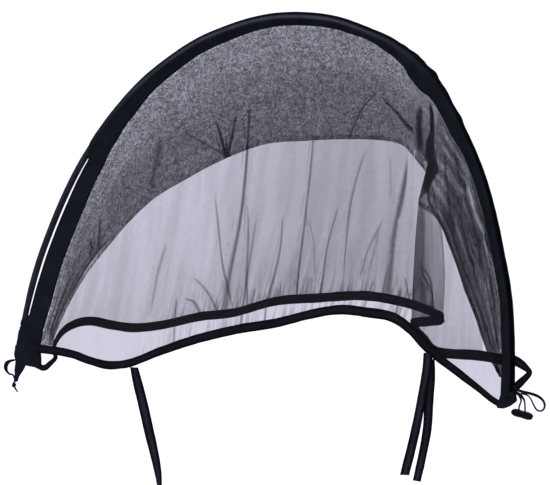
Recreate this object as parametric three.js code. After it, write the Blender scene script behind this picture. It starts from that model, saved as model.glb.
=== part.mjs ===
// Stroller mosquito net with its hoop, in millimetres. +X runs along the span from the left foot
// to the right foot, +Y towards the back of the hood, +Z up. The origin is midway between the two
// feet of the hoop, where the stroller's sides hold them.
//
// A bent rod carries a cloth casing. A front net and a back curtain (a dark crown panel and a light
// net below it) are sewn to the casing's inner edge, and each curtain ends in a bound elastic hem.
import * as THREE from "three";

const vec = (x, y, z) => new THREE.Vector3(x, y, z);
const unit = (v) => v.clone().normalize();

// ---- driving dimensions
const HALF_SPAN = 306; // hoop centreline, foot to middle
const RISE = 440; // hoop centreline, feet to apex, measured in its leaning plane
const LEAN = THREE.MathUtils.degToRad(20.7); // the hoop's plane leans back
const ROD_RADIUS = 3.5;
const CASING_THICKNESS = 1.2;
const CLOSED_WRAP = 90; // degrees of wrap from which the sleeve leaves the rod along a tangent
const NET_THICKNESS = 1;
const BINDING_WIDTH = 10.5;
const BINDING_THICKNESS = 2.2;
const TIE_THICKNESS = 1.2;
const LOOP_WIDTH = 5.5;
const LOOP_THICKNESS = 2;
const CORD_RADIUS = 1;
const SEAT = 0.3; // gap that touching pieces keep
const CURTAIN_SEAT = 0.8; // the nets start this far inside the casing's edge
const CURTAIN_OFFSET = 0.9; // half the distance between the two curtains at that edge
const FRONT_SAG = 12; // the front net bellies forward by this in its middle
const CROWN_BOW = vec(0, 8.4, 11.2); // the crown panel bellies back and up
const NET_BOW = 8; // the back net bellies back
const FULL_SAG_LENGTH = 300; // panels shorter than this from edge to edge belly less
const FULL_BOW_LENGTH = 150;
const FRONT_HEM_DROP = 20; // how upright the hems hang, against the pull of the cloth above
const BACK_HEM_DROP = 25;

// How finely the cloth is faceted.
const SECTION_STEP = 0.6;
const PLEAT = { from: 13, to: 20.5, step: 0.35 }; // sections of the back curtain
const CASING_LINE = 11; // points across the casing's section
const CASING_SPANS = [
  { from: 0.002, to: 0.185, count: 12 }, { from: 0.185, to: 0.25, count: 14 },
  { from: 0.25, to: 0.6, count: 20 }, { from: 0.6, to: 0.76, count: 22 },
  { from: 0.76, to: 0.998, count: 14 },
];
const HOOP_STEPS = 60;
const TIE_STEPS = 12;

// The hoop isn't a perfect arch: its radius grows and shrinks by these amounts.
const UNEVEN = [
  { t: 0, out: -3.5 }, { t: 0.1, out: -0.5 }, { t: 0.2, out: 2.5 }, { t: 0.28, out: 2.5 },
  { t: 0.35, out: 0 }, { t: 0.42, out: -3 }, { t: 0.5, out: -3 }, { t: 0.58, out: -1 },
  { t: 0.65, out: 3 }, { t: 0.71, out: 2 }, { t: 0.78, out: -1 }, { t: 0.87, out: -3 },
  { t: 0.93, out: 0 }, { t: 1, out: 2.5 },
];

// The casing along the hoop. band: width of its flat part; slit: how far it stands off the rod;
// wrap: degrees of the rod that its sleeve goes round; sleeve: radius of the cloth there, more
// where it's bunched; twist: degrees that the band turns to the back.
const CASING = [
  { t: 0.002, band: 22.5, slit: 0, wrap: 0, sleeve: 4, twist: 6 },
  { t: 0.022, band: 23, slit: 0, wrap: 0, sleeve: 4, twist: 6 },
  { t: 0.05, band: 24, slit: 1.8, wrap: 0, sleeve: 5, twist: 7 },
  { t: 0.08, band: 22.5, slit: 3, wrap: 0, sleeve: 5, twist: 8 },
  { t: 0.14, band: 22.5, slit: 2.6, wrap: 0, sleeve: 5, twist: 10 },
  { t: 0.185, band: 21, slit: 0.6, wrap: 2, sleeve: 5.1, twist: 16 },
  { t: 0.215, band: 17.5, slit: 0.2, wrap: 120, sleeve: 5.1, twist: 20 },
  { t: 0.25, band: 14, slit: 0, wrap: 230, sleeve: 5.1, twist: 25 },
  { t: 0.3, band: 10.5, slit: 0, wrap: 230, sleeve: 5.1, twist: 34 },
  { t: 0.37, band: 8.5, slit: 0, wrap: 230, sleeve: 5.1, twist: 38 },
  { t: 0.5, band: 6, slit: 0, wrap: 230, sleeve: 5.1, twist: 42 },
  { t: 0.57, band: 5, slit: 0, wrap: 230, sleeve: 5.2, twist: 38 },
  { t: 0.6, band: 3.5, slit: 0, wrap: 230, sleeve: 5.3, twist: 36 },
  { t: 0.64, band: 5, slit: 0, wrap: 230, sleeve: 6.4, twist: 26 },
  { t: 0.66, band: 4.4, slit: 0, wrap: 230, sleeve: 7.8, twist: 22 },
  { t: 0.68, band: 8, slit: 0, wrap: 230, sleeve: 8.6, twist: 19 },
  { t: 0.695, band: 8, slit: 0, wrap: 230, sleeve: 9, twist: 18 },
  { t: 0.712, band: 5.4, slit: 0, wrap: 230, sleeve: 7.6, twist: 20 },
  { t: 0.735, band: 8.6, slit: 0, wrap: 230, sleeve: 5.4, twist: 26 },
  { t: 0.752, band: 10, slit: 0, wrap: 230, sleeve: 5.2, twist: 29 },
  { t: 0.78, band: 6.4, slit: 0, wrap: 230, sleeve: 5.1, twist: 32 },
  { t: 0.9, band: 6, slit: 0, wrap: 230, sleeve: 5.4, twist: 36 },
  { t: 0.998, band: 7, slit: 0, wrap: 230, sleeve: 5.4, twist: 36 },
];

// The front net, a row for each section: t on the hoop, and the middle of the hem's binding below.
const FRONT = [
  { t: 0.02, x: -275, y: -3, z: 9 },
  { t: 0.035, x: -262, y: -4, z: 9 },
  { t: 0.08, x: -244, y: -6, z: 9 },
  { t: 0.13, x: -222, y: -7, z: 7 },
  { t: 0.18, x: -198, y: -9, z: 2 },
  { t: 0.235, x: -172, y: -10, z: -1 },
  { t: 0.295, x: -142, y: -11, z: 5 },
  { t: 0.36, x: -104, y: -13, z: 22 },
  { t: 0.43, x: -56, y: -14, z: 41 },
  { t: 0.5, x: -4, y: -14, z: 57 },
  { t: 0.56, x: 43, y: -14, z: 68 },
  { t: 0.62, x: 86, y: -13, z: 81.5 },
  { t: 0.67, x: 120, y: -12, z: 89 },
  { t: 0.715, x: 152, y: -11, z: 88 },
  { t: 0.75, x: 178, y: -9, z: 85 },
  { t: 0.785, x: 198, y: -8, z: 74 },
  { t: 0.82, x: 214, y: -7, z: 58 },
  { t: 0.86, x: 233, y: -6, z: 42.5 },
  { t: 0.9, x: 254, y: -5, z: 28 },
  { t: 0.94, x: 275, y: -3, z: 13 },
  { t: 0.966, x: 290, y: -1, z: 1.5 },
  { t: 0.981, x: 298.4, y: -0.5, z: -4 },
];

// The back curtain, a row for each section: t on the hoop, the seam between crown and net (s...),
// and the middle of the hem's binding (h...). Rows 14 to 20 run forward, back and forward again:
// that is the flat pleat that hangs on the right.
const BACK = [
  { t: 0.035, sx: -263.5, sy: 22, sz: 26, hx: -261, hy: 13, hz: 8.5 },
  { t: 0.065, sx: -266, sy: 58, sz: 59, hx: -266, hy: 42, hz: 20 },
  { t: 0.11, sx: -258, sy: 90, sz: 92, hx: -263, hy: 71, hz: 26 },
  { t: 0.16, sx: -243, sy: 122, sz: 123, hx: -247, hy: 85, hz: 28 },
  { t: 0.21, sx: -222, sy: 143, sz: 151, hx: -226, hy: 99, hz: 22 },
  { t: 0.26, sx: -194, sy: 162, sz: 181, hx: -200, hy: 111, hz: 18 },
  { t: 0.31, sx: -158, sy: 181, sz: 205, hx: -166, hy: 124, hz: 22 },
  { t: 0.37, sx: -116, sy: 198, sz: 229, hx: -121, hy: 137, hz: 33.5 },
  { t: 0.435, sx: -62, sy: 210, sz: 250, hx: -76, hy: 144, hz: 41 },
  { t: 0.5, sx: -8, sy: 215, sz: 256, hx: -22, hy: 149, hz: 58.5 },
  { t: 0.56, sx: 46, sy: 213, sz: 260, hx: 36, hy: 149, hz: 67 },
  { t: 0.615, sx: 94, sy: 205, sz: 261, hx: 92, hy: 143, hz: 75 },
  { t: 0.66, sx: 126, sy: 196, sz: 256, hx: 136, hy: 134, hz: 74.5 },
  { t: 0.695, sx: 148, sy: 187, sz: 237, hx: 172, hy: 123, hz: 70.5 },
  { t: 0.71, sx: 165, sy: 176, sz: 222, hx: 200, hy: 113, hz: 64 },
  { t: 0.715, sx: 169, sy: 169, sz: 214, hx: 205, hy: 106, hz: 62 },
  { t: 0.72, sx: 167, sy: 161, sz: 206, hx: 199, hy: 100, hz: 61 },
  { t: 0.73, sx: 163, sy: 150, sz: 197, hx: 178, hy: 91, hz: 59 },
  { t: 0.735, sx: 165, sy: 143, sz: 192, hx: 173, hy: 84, hz: 58 },
  { t: 0.74, sx: 172, sy: 136, sz: 188, hx: 178, hy: 76, hz: 56 },
  { t: 0.755, sx: 186, sy: 127, sz: 183, hx: 203, hy: 42, hz: 50.5 },
  { t: 0.78, sx: 202, sy: 112, sz: 168, hx: 221, hy: 20, hz: 44 },
  { t: 0.81, sx: 222, sy: 92, sz: 137, hx: 239, hy: 19, hz: 42.5 },
  { t: 0.845, sx: 240, sy: 73, sz: 106, hx: 253, hy: 24, hz: 42 },
  { t: 0.88, sx: 258, sy: 53, sz: 80, hx: 264, hy: 27, hz: 41.5 },
  { t: 0.91, sx: 269, sy: 37, sz: 64, hx: 272, hy: 28, hz: 41 },
];
// Past the net's last section the crown's free edge and the binding run on to the right foot.
const CROWN_TAIL = [
  { t: 0.94, sx: 279, sy: 36, sz: 40 },
  { t: 0.968, sx: 288.5, sy: 31, sz: 28 },
];
const BINDING_TAIL = [
  { x: 283, y: 27, z: 40.5 },
  { x: 291, y: 25, z: 40 },
];

// The pleat's outer fold swells to the right between its ends.
const PLEAT_EDGE = { at: 14.8, half: 1.9, side: 5.5 };

// Main folds. at: section of the curtain that the fold follows; half: half its width in sections;
// high: how far it stands out.
const FRONT_FOLDS = [
  { at: 5.4, half: 0.3, high: 4 }, { at: 8.2, half: 0.26, high: 4 },
  { at: 10.5, half: 0.28, high: 4 }, { at: 12.6, half: 0.3, high: 5 },
];
const CROWN_FOLDS = [
  { at: 4.6, half: 0.22, high: 4 }, { at: 7.2, half: 0.25, high: 4 },
  { at: 10.8, half: 0.3, high: 4 }, { at: 12.4, half: 0.3, high: 4 },
  { at: 21.4, half: 0.3, high: 5 }, { at: 23, half: 0.3, high: 4 },
];
const NET_FOLDS = [
  { at: 4.2, half: 0.3, high: 3 }, { at: 7.5, half: 0.22, high: 5 },
  { at: 9.3, half: 0.24, high: 4 }, { at: 10.3, half: 0.22, high: 4 },
  { at: 12.1, half: 0.28, high: 5 },
];

// Ties, a row for each height: z measured down from the tie's top, side and depth from its top,
// width, and turn in degrees from facing forward.
const LEFT_TIE = [
  { drop: 0, side: 0, depth: 0, width: 10, turn: 12 },
  { drop: 18, side: 5, depth: -1, width: 11.5, turn: 20 },
  { drop: 46, side: 12.8, depth: -2, width: 12.2, turn: 20 },
  { drop: 76, side: 19.8, depth: -2, width: 12.4, turn: 12 },
  { drop: 104, side: 26, depth: -1, width: 12, turn: 4 },
  { drop: 124, side: 29.4, depth: 0, width: 10.5, turn: -8 },
  { drop: 141, side: 31.4, depth: 0, width: 8, turn: -16 },
];
const RIGHT_TIE_FRONT = [
  { drop: 0, side: 0, depth: 0, width: 10.5, turn: 0 },
  { drop: 20, side: -1, depth: -2, width: 10.5, turn: -6 },
  { drop: 48, side: -5, depth: -4, width: 10.5, turn: -10 },
  { drop: 80, side: -10.5, depth: -4, width: 10.5, turn: -4 },
  { drop: 110, side: -17, depth: -3, width: 10.5, turn: 10 },
  { drop: 140, side: -24.3, depth: -2, width: 10.5, turn: 14 },
];
const RIGHT_TIE_BACK = [
  { drop: 0, side: 0, depth: 0, width: 10.5, turn: 6 },
  { drop: 20, side: 0.5, depth: 1, width: 10.5, turn: 10 },
  { drop: 48, side: -1.2, depth: 2, width: 10.5, turn: 6 },
  { drop: 80, side: -2.6, depth: 2, width: 10.5, turn: -4 },
  { drop: 112, side: -7.6, depth: 1, width: 10.5, turn: -12 },
  { drop: 140, side: -13, depth: 0, width: 10, turn: -10 },
];
const LEFT_TIE_TOP = { x: -136.5, y: -14, z: 0.4 };
const RIGHT_TIE_FRONT_TOP = { x: 221.5, y: -11.1, z: 48.2 };
const RIGHT_TIE_BACK_TOP = { x: 222.6, y: -7.1, z: 41 };

// Foot pockets, as outlines in the plane of the span (x, z).
const FOOT_DEPTH = 7;
const LEFT_FOOT = [
  [-306, -1.5], [-273, -1.5], [-271.5, -13.5], [-289, -15.5], [-296, -22],
  [-301.5, -31], [-304.5, -31], [-307, -19], [-307.5, -8],
];
const RIGHT_FOOT = [
  [300.5, -1.5], [315, -1.5], [314.5, -4.5], [310, -7.5], [303.5, -7.5], [299.5, -4.5],
];

// Elastic loops: the middle of each strap (x, z). The left one hangs upright; the right one leans
// with the hoop.
const LEFT_LOOP = [[-270.4, -9.5], [-262, -12.5], [-247, -1], [-247.5, 2.2]];
const LEFT_LOOP_DEPTH = -2;
const RIGHT_LOOP = [[313.7, 44], [326.6, 35], [329.6, 24], [316.4, 12]];

// Free cords. Each route starts at its foot pocket.
const LEFT_CORD = [
  [-308, 0, -9], [-313.6, 0, -10.4], [-319.2, 0, -13.8], [-321.4, 0, -19.2], [-319.8, 0, -24.4],
  [-315.4, -0.6, -27.2], [-310.6, -1.6, -27.6], [-308, -2.4, -30.6], [-307.4, -2.6, -34],
  [-308.3, -2.6, -37.2],
];
const LEFT_CORD_END = [[-307.6, -2.6, -42.9], [-305.8, -2.6, -45.6], [-303.4, -2.6, -48.4]];
const LEFT_KNOT = { x: -308.4, y: -2.6, z: -40, radius: 2.4 };
const LOCK_CORD_LEFT = [
  [314, 0.9, 14.2], [318, -1.2, 11], [321.4, -1.2, 7.2], [323, -1, 2.5], [321.6, -0.6, -2.5],
  [320.8, -0.5, -6.4],
];
const LOCK_CORD_RIGHT = [
  [314.8, 1.5, 10.6], [318.6, 1.1, 9.8], [322.8, 1.4, 7], [326, 1.2, 2.5], [327, 0.4, -3], [327.4, 0, -8.8],
];
const FREE_CORD = [
  [313.4, 1.2, 17], [316.6, -0.8, 15.2], [322, -2.6, 13.6], [328.5, -2.6, 12.5], [336, -2.2, 11.2],
  [342.6, -1.8, 8.8], [347.4, -1.5, 4.4], [348.8, -1.5, -1], [346.6, -1.5, -5.6], [342.6, -1.5, -6.6],
  [339.2, -1.5, -4.4], [336.2, -1.5, 0.6], [333, -0.6, 6], [329, 2.2, 8.2], [323.4, 4.8, 8.6],
  [318, 4.6, 8], [314.8, 3.6, 7.8],
];
const LOCK = { x: 324.4, y: -0.3, z: -12.6, length: 24, width: 8.4, depth: 8, tilt: -19 };

const CLOTH_BLACK = 0x14161f;
const NET_GREY = 0x3a3a44;
const materials = {
  rod: new THREE.MeshStandardMaterial({ color: 0x101216, roughness: 0.45, metalness: 0 }),
  casing: new THREE.MeshStandardMaterial({ color: CLOTH_BLACK, roughness: 0.85, metalness: 0 }),
  net: new THREE.MeshStandardMaterial({ color: NET_GREY, roughness: 0.9, metalness: 0 }),
  crown: new THREE.MeshStandardMaterial({ color: 0x24262c, roughness: 0.9, metalness: 0 }),
  binding: new THREE.MeshStandardMaterial({ color: CLOTH_BLACK, roughness: 0.8, metalness: 0 }),
  cord: new THREE.MeshStandardMaterial({ color: 0x0e0f12, roughness: 0.7, metalness: 0 }),
  plastic: new THREE.MeshStandardMaterial({ color: 0x0b0c0f, roughness: 0.35, metalness: 0 }),
};

// ---- tables as smooth tracks
// A Catmull-Rom value at row number at (not whole) of a column of rows.
function atRow(rows, at, column) {
  const last = rows.length - 1;
  const i = Math.min(Math.max(Math.floor(at), 0), last - 1);
  const f = at - i;
  const value = (k) => {
    if (k < 0) return 2 * rows[0][column] - rows[1][column];
    if (k > last) return 2 * rows[last][column] - rows[last - 1][column];
    return rows[k][column];
  };
  const [a, b, c, d] = [value(i - 1), value(i), value(i + 1), value(i + 2)];
  return b + 0.5 * f * (c - a + f * (2 * a - 5 * b + 4 * c - d + f * (3 * (b - c) + d - a)));
}

// A value between rows that are sorted by key, eased so that it never overshoots.
function between(rows, key, where, column) {
  let i = 0;
  while (i < rows.length - 2 && rows[i + 1][key] < where) i++;
  const f = THREE.MathUtils.clamp((where - rows[i][key]) / (rows[i + 1][key] - rows[i][key]), 0, 1);
  return THREE.MathUtils.lerp(rows[i][column], rows[i + 1][column], f * f * (3 - 2 * f));
}

// ---- the hoop's path and the frame that follows it
const planeNormal = vec(0, Math.cos(LEAN), -Math.sin(LEAN)); // points to the back
function hoopPoint(t) {
  const angle = Math.PI * t;
  const out = between(UNEVEN, "t", t, "out");
  const rise = (RISE + out) * Math.sin(angle);
  return vec(-(HALF_SPAN + out) * Math.cos(angle), rise * Math.sin(LEAN), rise * Math.cos(LEAN));
}
function hoopFrame(t) {
  const step = 0.002;
  const tangent = hoopPoint(t + step).sub(hoopPoint(t - step)).normalize();
  const inward = planeNormal.clone().cross(tangent).normalize();
  return { at: hoopPoint(t), tangent, inward };
}

// The casing's section at t, as the middle line of its cloth: round the rod, then off the sleeve
// along a tangent to the seam at the inner edge. The tangent side faces forward. Where the sleeve
// isn't closed, its cloth starts on the band's own line instead.
function casingLine(t, count) {
  const row = (column) => between(CASING, "t", t, column);
  const { at, inward } = hoopFrame(t);
  const twist = THREE.MathUtils.degToRad(row("twist"));
  const across = inward.clone().multiplyScalar(Math.cos(twist))
    .addScaledVector(planeNormal, Math.sin(twist));
  const thick = planeNormal.clone().multiplyScalar(Math.cos(twist))
    .addScaledVector(inward, -Math.sin(twist));
  const [slit, sleeve] = [row("slit"), row("sleeve")];
  const seam = sleeve + row("band"); // distance from the rod's centre, without the slit
  const lift = Math.acos(sleeve / seam) * Math.min(1, row("wrap") / CLOSED_WRAP);
  const place = (x, y) => at.clone().addScaledVector(across, slit + x).addScaledVector(thick, -y);
  const lean = (x, y) => across.clone().multiplyScalar(x).addScaledVector(thick, -y).normalize();
  const [leaveX, leaveY] = [sleeve * Math.cos(lift), sleeve * Math.sin(lift)];
  const arc = THREE.MathUtils.degToRad(row("wrap")) * sleeve;
  const band = Math.hypot(seam - leaveX, leaveY);
  const points = [];
  for (let i = 0; i < count; i++) {
    const along = (i / (count - 1)) * (arc + band) - arc;
    const angle = lift - Math.min(along, 0) / sleeve;
    const off = Math.max(along, 0) / band;
    points.push({
      point: along < 0 ? place(sleeve * Math.cos(angle), sleeve * Math.sin(angle))
        : place(THREE.MathUtils.lerp(leaveX, seam, off), leaveY * (1 - off)),
      normal: along < 0 ? lean(-Math.cos(angle), -Math.sin(angle)) : lean(-leaveY, leaveX - seam),
    });
  }
  return { points, across, thick, edge: place(seam, 0) };
}

// ---- solids
// A closed solid from vertices and quads or triangles, turned so that its faces point outwards.
function solid(vertices, faces) {
  const triangles = faces.flatMap((f) => (f.length === 4
    ? [[f[0], f[1], f[2]], [f[0], f[2], f[3]]] : [f]));
  let volume = 0;
  for (const [a, b, c] of triangles) {
    volume += vertices[a].dot(vertices[b].clone().cross(vertices[c])) / 6;
  }
  const geometry = new THREE.BufferGeometry();
  geometry.setAttribute("position", new THREE.Float32BufferAttribute(
    vertices.flatMap((v) => [v.x, v.y, v.z]), 3));
  geometry.setIndex(triangles.flatMap((f) => (volume < 0 ? [f[0], f[2], f[1]] : f)));
  return geometry;
}

// A sheet of cloth: grid[i][j] holds { point, normal }, and the solid has half the thickness
// on each side of it.
function slab(grid, thickness) {
  const [rows, columns] = [grid.length, grid[0].length];
  const side = (sign) => grid.flat().map(({ point, normal }) => point.clone()
    .addScaledVector(normal, (sign * thickness) / 2));
  const vertices = [...side(1), ...side(-1)];
  const id = (i, j, back) => i * columns + j + (back ? rows * columns : 0);
  const faces = [];
  for (let i = 0; i < rows - 1; i++) {
    for (let j = 0; j < columns - 1; j++) {
      faces.push([id(i, j), id(i, j + 1), id(i + 1, j + 1), id(i + 1, j)]);
      faces.push([id(i, j, 1), id(i + 1, j, 1), id(i + 1, j + 1, 1), id(i, j + 1, 1)]);
    }
  }
  for (let i = 0; i < rows - 1; i++) {
    faces.push([id(i, 0), id(i + 1, 0), id(i + 1, 0, 1), id(i, 0, 1)]);
    const j = columns - 1;
    faces.push([id(i + 1, j), id(i, j), id(i, j, 1), id(i + 1, j, 1)]);
  }
  for (let j = 0; j < columns - 1; j++) {
    faces.push([id(0, j + 1), id(0, j), id(0, j, 1), id(0, j + 1, 1)]);
    const i = rows - 1;
    faces.push([id(i, j), id(i, j + 1), id(i, j + 1, 1), id(i, j, 1)]);
  }
  return solid(vertices, faces);
}

// A round cord or rod along a curve.
function roundTube(curve, radius, sides, steps) {
  const section = new THREE.Shape();
  for (let k = 0; k < sides; k++) {
    const angle = (2 * Math.PI * k) / sides;
    const [x, y] = [radius * Math.cos(angle), radius * Math.sin(angle)];
    if (k) section.lineTo(x, y);
    else section.moveTo(x, y);
  }
  section.closePath();
  return new THREE.ExtrudeGeometry(section, { steps, extrudePath: curve, bevelEnabled: false });
}

function cordTube(route) {
  const curve = new THREE.CatmullRomCurve3(route.map((p) => vec(...p)));
  const steps = Math.max(4, Math.round(curve.getLength() / (5 * CORD_RADIUS)));
  return roundTube(curve, CORD_RADIUS, 8, steps);
}

// A flat outline in the plane of the span, given a depth front to back.
function plate(outline, depth, middle) {
  const shape = new THREE.Shape(outline.map(([x, z]) => new THREE.Vector2(x, z)));
  const geometry = new THREE.ExtrudeGeometry(shape, { depth, bevelEnabled: false });
  return geometry.rotateX(Math.PI / 2).translate(0, middle + depth / 2, 0);
}

// ---- curtains
// A curtain is a function surface(q, v): q is the section (a row number), and v runs down it, a
// whole number at each edge of a panel. Grids are cut from it with a little shift at panel edges.
// Up to the section limits.joined the panels are sewn together; after it each hangs by itself.
function surfaceNormal(surface, q, v, limits) {
  const [dq, dv] = [0.12, 0.04];
  const span = (value, step, [low, high]) => [Math.max(value - step, low), Math.min(value + step, high)];
  const [q0, q1] = span(q, dq, limits.q);
  const [v0, v1] = span(v, dv, limits.v);
  const along = surface(q1, v).sub(surface(q0, v));
  const down = surface(q, v1).sub(surface(q, v0));
  return unit(along.cross(down));
}

function panel(surface, limits, columns, { from, to, rows, startGap, endGap, bulge }) {
  const grid = [];
  for (let i = 0; i <= rows; i++) {
    const v = THREE.MathUtils.lerp(from, to, i / rows);
    grid.push(columns.map((q) => {
      const free = q > limits.joined;
      const reach = { q: limits.q, v: free ? [from, to] : limits.v };
      const normal = surfaceNormal(surface, q, v, reach);
      const point = surface(q, v);
      const step = 0.01;
      const down = unit(surface(q, Math.min(v + step, reach.v[1]))
        .sub(surface(q, Math.max(v - step, reach.v[0]))));
      if (i === 0) point.addScaledVector(down, startGap);
      if (i === rows) point.addScaledVector(down, -endGap);
      if (bulge && i > 0 && i < rows) point.addScaledVector(normal, bulge(q, i / rows));
      return { point, normal };
    }));
  }
  return grid;
}

// Sections at an even pace, with three more at each fold. Panels that meet share them.
function sections(first, last, step, folds) {
  const found = [];
  const count = Math.ceil((last - first) / step);
  for (let i = 0; i <= count; i++) found.push(first + ((last - first) * i) / count);
  for (const { at, half } of folds) {
    for (const q of [at - half, at, at + half]) {
      for (let k = found.length - 2; k > 0; k--) {
        if (Math.abs(found[k] - q) < half * 0.6) found.splice(k, 1);
      }
      found.push(q);
      found.sort((a, b) => a - b);
    }
  }
  return found;
}

function foldHeight(folds, q, down) {
  let height = 0;
  for (const { at, half, high } of folds) {
    const off = Math.abs(q - at) / half;
    if (off < 1) height += high * (1 - off * off * (3 - 2 * off));
  }
  return height * Math.sin(Math.PI * down) ** 0.7;
}

// The edge of a curtain at the casing: side -1 for the front one, 1 for the back one.
function topEdge(t, side) {
  const { across, thick, edge } = casingLine(t, 2);
  return edge.clone().addScaledVector(across, CURTAIN_SEAT)
    .addScaledVector(thick, side * CURTAIN_OFFSET);
}

// 0 at both edges of a panel and 1 halfway down it.
const belly = (down) => 4 * down * (1 - down);

// The front net and its binding: v from 0 at the casing to 1 at the binding's top and 2 at its end.
const lastFront = FRONT.length - 1;
function frontSurface(q, v) {
  const row = (column) => atRow(FRONT, q, column);
  const top = topEdge(THREE.MathUtils.clamp(row("t"), 0.004, 0.996), -1);
  const hem = vec(row("x"), row("y"), row("z"));
  const up = unit(top.clone().sub(hem).add(vec(0, 0, FRONT_HEM_DROP)));
  const netEnd = hem.clone().addScaledVector(up, BINDING_WIDTH / 2);
  if (v > 1) return netEnd.addScaledVector(up, -BINDING_WIDTH * (v - 1));
  const length = top.distanceTo(netEnd);
  const sag = FRONT_SAG * Math.min(1, length / FULL_SAG_LENGTH) * belly(v);
  return top.lerp(netEnd, v).add(vec(0, -sag, 0));
}

// The back curtain: v from 0 at the casing to 1 at the seam, 2 at the binding's top, 3 at its end.
const lastBack = BACK.length - 1;
const crownRows = [...BACK, ...CROWN_TAIL];
const hemRows = [
  ...BACK.map(({ hx, hy, hz, sx, sy, sz }) => ({ x: hx, y: hy, z: hz, sx, sy, sz })),
  ...BINDING_TAIL.map((row, i) => {
    const { sx, sy, sz } = CROWN_TAIL[i];
    return { ...row, sx, sy, sz: Math.max(sz, 60) };
  }),
];
const lastCrown = crownRows.length - 1;

function hemUp(q) {
  const row = (column) => atRow(hemRows, q, column);
  const rise = vec(row("sx") - row("x"), row("sy") - row("y"), row("sz") - row("z"));
  return unit(rise.add(vec(0, 0, BACK_HEM_DROP)));
}
function backSurface(q, v) {
  const crown = (column) => atRow(crownRows, q, column);
  const hem = (column) => atRow(hemRows, q, column);
  const seam = vec(crown("sx"), crown("sy"), crown("sz"));
  if (v <= 1) {
    const top = topEdge(THREE.MathUtils.clamp(crown("t"), 0.004, 0.996), 1);
    const bow = Math.min(1, top.distanceTo(seam) / FULL_BOW_LENGTH) * belly(v);
    return top.lerp(seam, v).addScaledVector(CROWN_BOW, bow);
  }
  const up = hemUp(q);
  const netEnd = vec(hem("x"), hem("y"), hem("z")).addScaledVector(up, BINDING_WIDTH / 2);
  if (v > 2) return netEnd.addScaledVector(up, -BINDING_WIDTH * (v - 2));
  const bow = NET_BOW * Math.min(1, seam.distanceTo(netEnd) / FULL_BOW_LENGTH) * belly(v - 1);
  const off = Math.min(1, Math.abs(q - PLEAT_EDGE.at) / PLEAT_EDGE.half);
  const swell = PLEAT_EDGE.side * (1 - off * off * (3 - 2 * off)) * belly(v - 1);
  return seam.lerp(netEnd, v - 1).add(vec(swell, bow, 0));
}

// ---- ribbons
// A flat strap along points, width across it in its own plane. Corners are mitred.
function strap(points, width, thickness, normal) {
  const grid = [[], []];
  points.forEach((point, i) => {
    const before = unit(point.clone().sub(points[Math.max(i - 1, 0)]));
    const after = unit(points[Math.min(i + 1, points.length - 1)].clone().sub(point));
    const way = unit(before.clone().add(after));
    const across = way.clone().cross(normal).normalize();
    const ends = i === 0 || i === points.length - 1;
    const mitre = ends ? 1 : 1 / Math.max(0.6, way.dot(before));
    [-1, 1].forEach((side, k) => grid[k].push({
      point: point.clone().addScaledVector(across, (side * mitre * width) / 2), normal,
    }));
  });
  return slab(grid, thickness);
}

function tie(rows, top) {
  const grid = [[], []];
  for (let i = 0; i <= TIE_STEPS; i++) {
    const at = (i / TIE_STEPS) * (rows.length - 1);
    const turn = THREE.MathUtils.degToRad(atRow(rows, at, "turn"));
    const across = vec(Math.cos(turn), Math.sin(turn), 0);
    const normal = vec(-Math.sin(turn), Math.cos(turn), 0);
    const middle = vec(top.x + atRow(rows, at, "side"), top.y + atRow(rows, at, "depth"),
      top.z - atRow(rows, at, "drop"));
    const half = atRow(rows, at, "width") / 2;
    [-1, 1].forEach((side, k) => grid[k].push({
      point: middle.clone().addScaledVector(across, side * half), normal,
    }));
  }
  return slab(grid, TIE_THICKNESS);
}

// ---- the part
const part = new THREE.Group();
function add(name, geometry, material) {
  const mesh = new THREE.Mesh(geometry, material);
  mesh.name = name;
  part.add(mesh);
}

class HoopCurve extends THREE.Curve {
  getPoint(t, target = new THREE.Vector3()) {
    return target.copy(hoopPoint(t));
  }
}
add("hoop", roundTube(new HoopCurve(), ROD_RADIUS, 10, HOOP_STEPS), materials.rod);

const casingStations = [];
for (const { from, to, count } of CASING_SPANS) {
  for (let i = casingStations.length ? 1 : 0; i <= count; i++) {
    casingStations.push(from + ((to - from) * i) / count);
  }
}
add("casing", slab(casingStations.map((t) => casingLine(t, CASING_LINE).points), CASING_THICKNESS),
  materials.casing);

const frontLimits = { q: [0, lastFront], v: [0, 2], joined: lastFront };
const frontColumns = sections(0, lastFront, SECTION_STEP, FRONT_FOLDS);
add("front_net", slab(panel(frontSurface, frontLimits, frontColumns, {
  from: 0, to: 1, rows: 7, startGap: 0, endGap: SEAT / 2,
  bulge: (q, down) => foldHeight(FRONT_FOLDS, q, down),
}), NET_THICKNESS), materials.net);
add("front_binding", slab(panel(frontSurface, frontLimits, frontColumns, {
  from: 1, to: 2, rows: 1, startGap: SEAT / 2, endGap: 0,
}), BINDING_THICKNESS), materials.binding);

const backFolds = [...CROWN_FOLDS, ...NET_FOLDS];
const backColumns = [
  ...sections(0, PLEAT.from, SECTION_STEP, backFolds.filter((fold) => fold.at < PLEAT.from)),
  ...sections(PLEAT.from, PLEAT.to, PLEAT.step, []).slice(1, -1),
  ...sections(PLEAT.to, lastBack, SECTION_STEP, backFolds.filter((fold) => fold.at > PLEAT.to)),
];
const tailColumns = sections(lastBack, lastCrown, SECTION_STEP, []).slice(1);
const backLimits = { q: [0, lastCrown], v: [0, 3], joined: lastBack };
add("crown_panel", slab(panel(backSurface, backLimits, [...backColumns, ...tailColumns], {
  from: 0, to: 1, rows: 6, startGap: 0, endGap: SEAT,
  bulge: (q, down) => foldHeight(CROWN_FOLDS, q, down),
}), NET_THICKNESS), materials.crown);
add("back_net", slab(panel(backSurface, backLimits, backColumns, {
  from: 1, to: 2, rows: 6, startGap: SEAT / 2, endGap: SEAT,
  bulge: (q, down) => foldHeight(NET_FOLDS, q, down),
}), NET_THICKNESS), materials.net);
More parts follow.
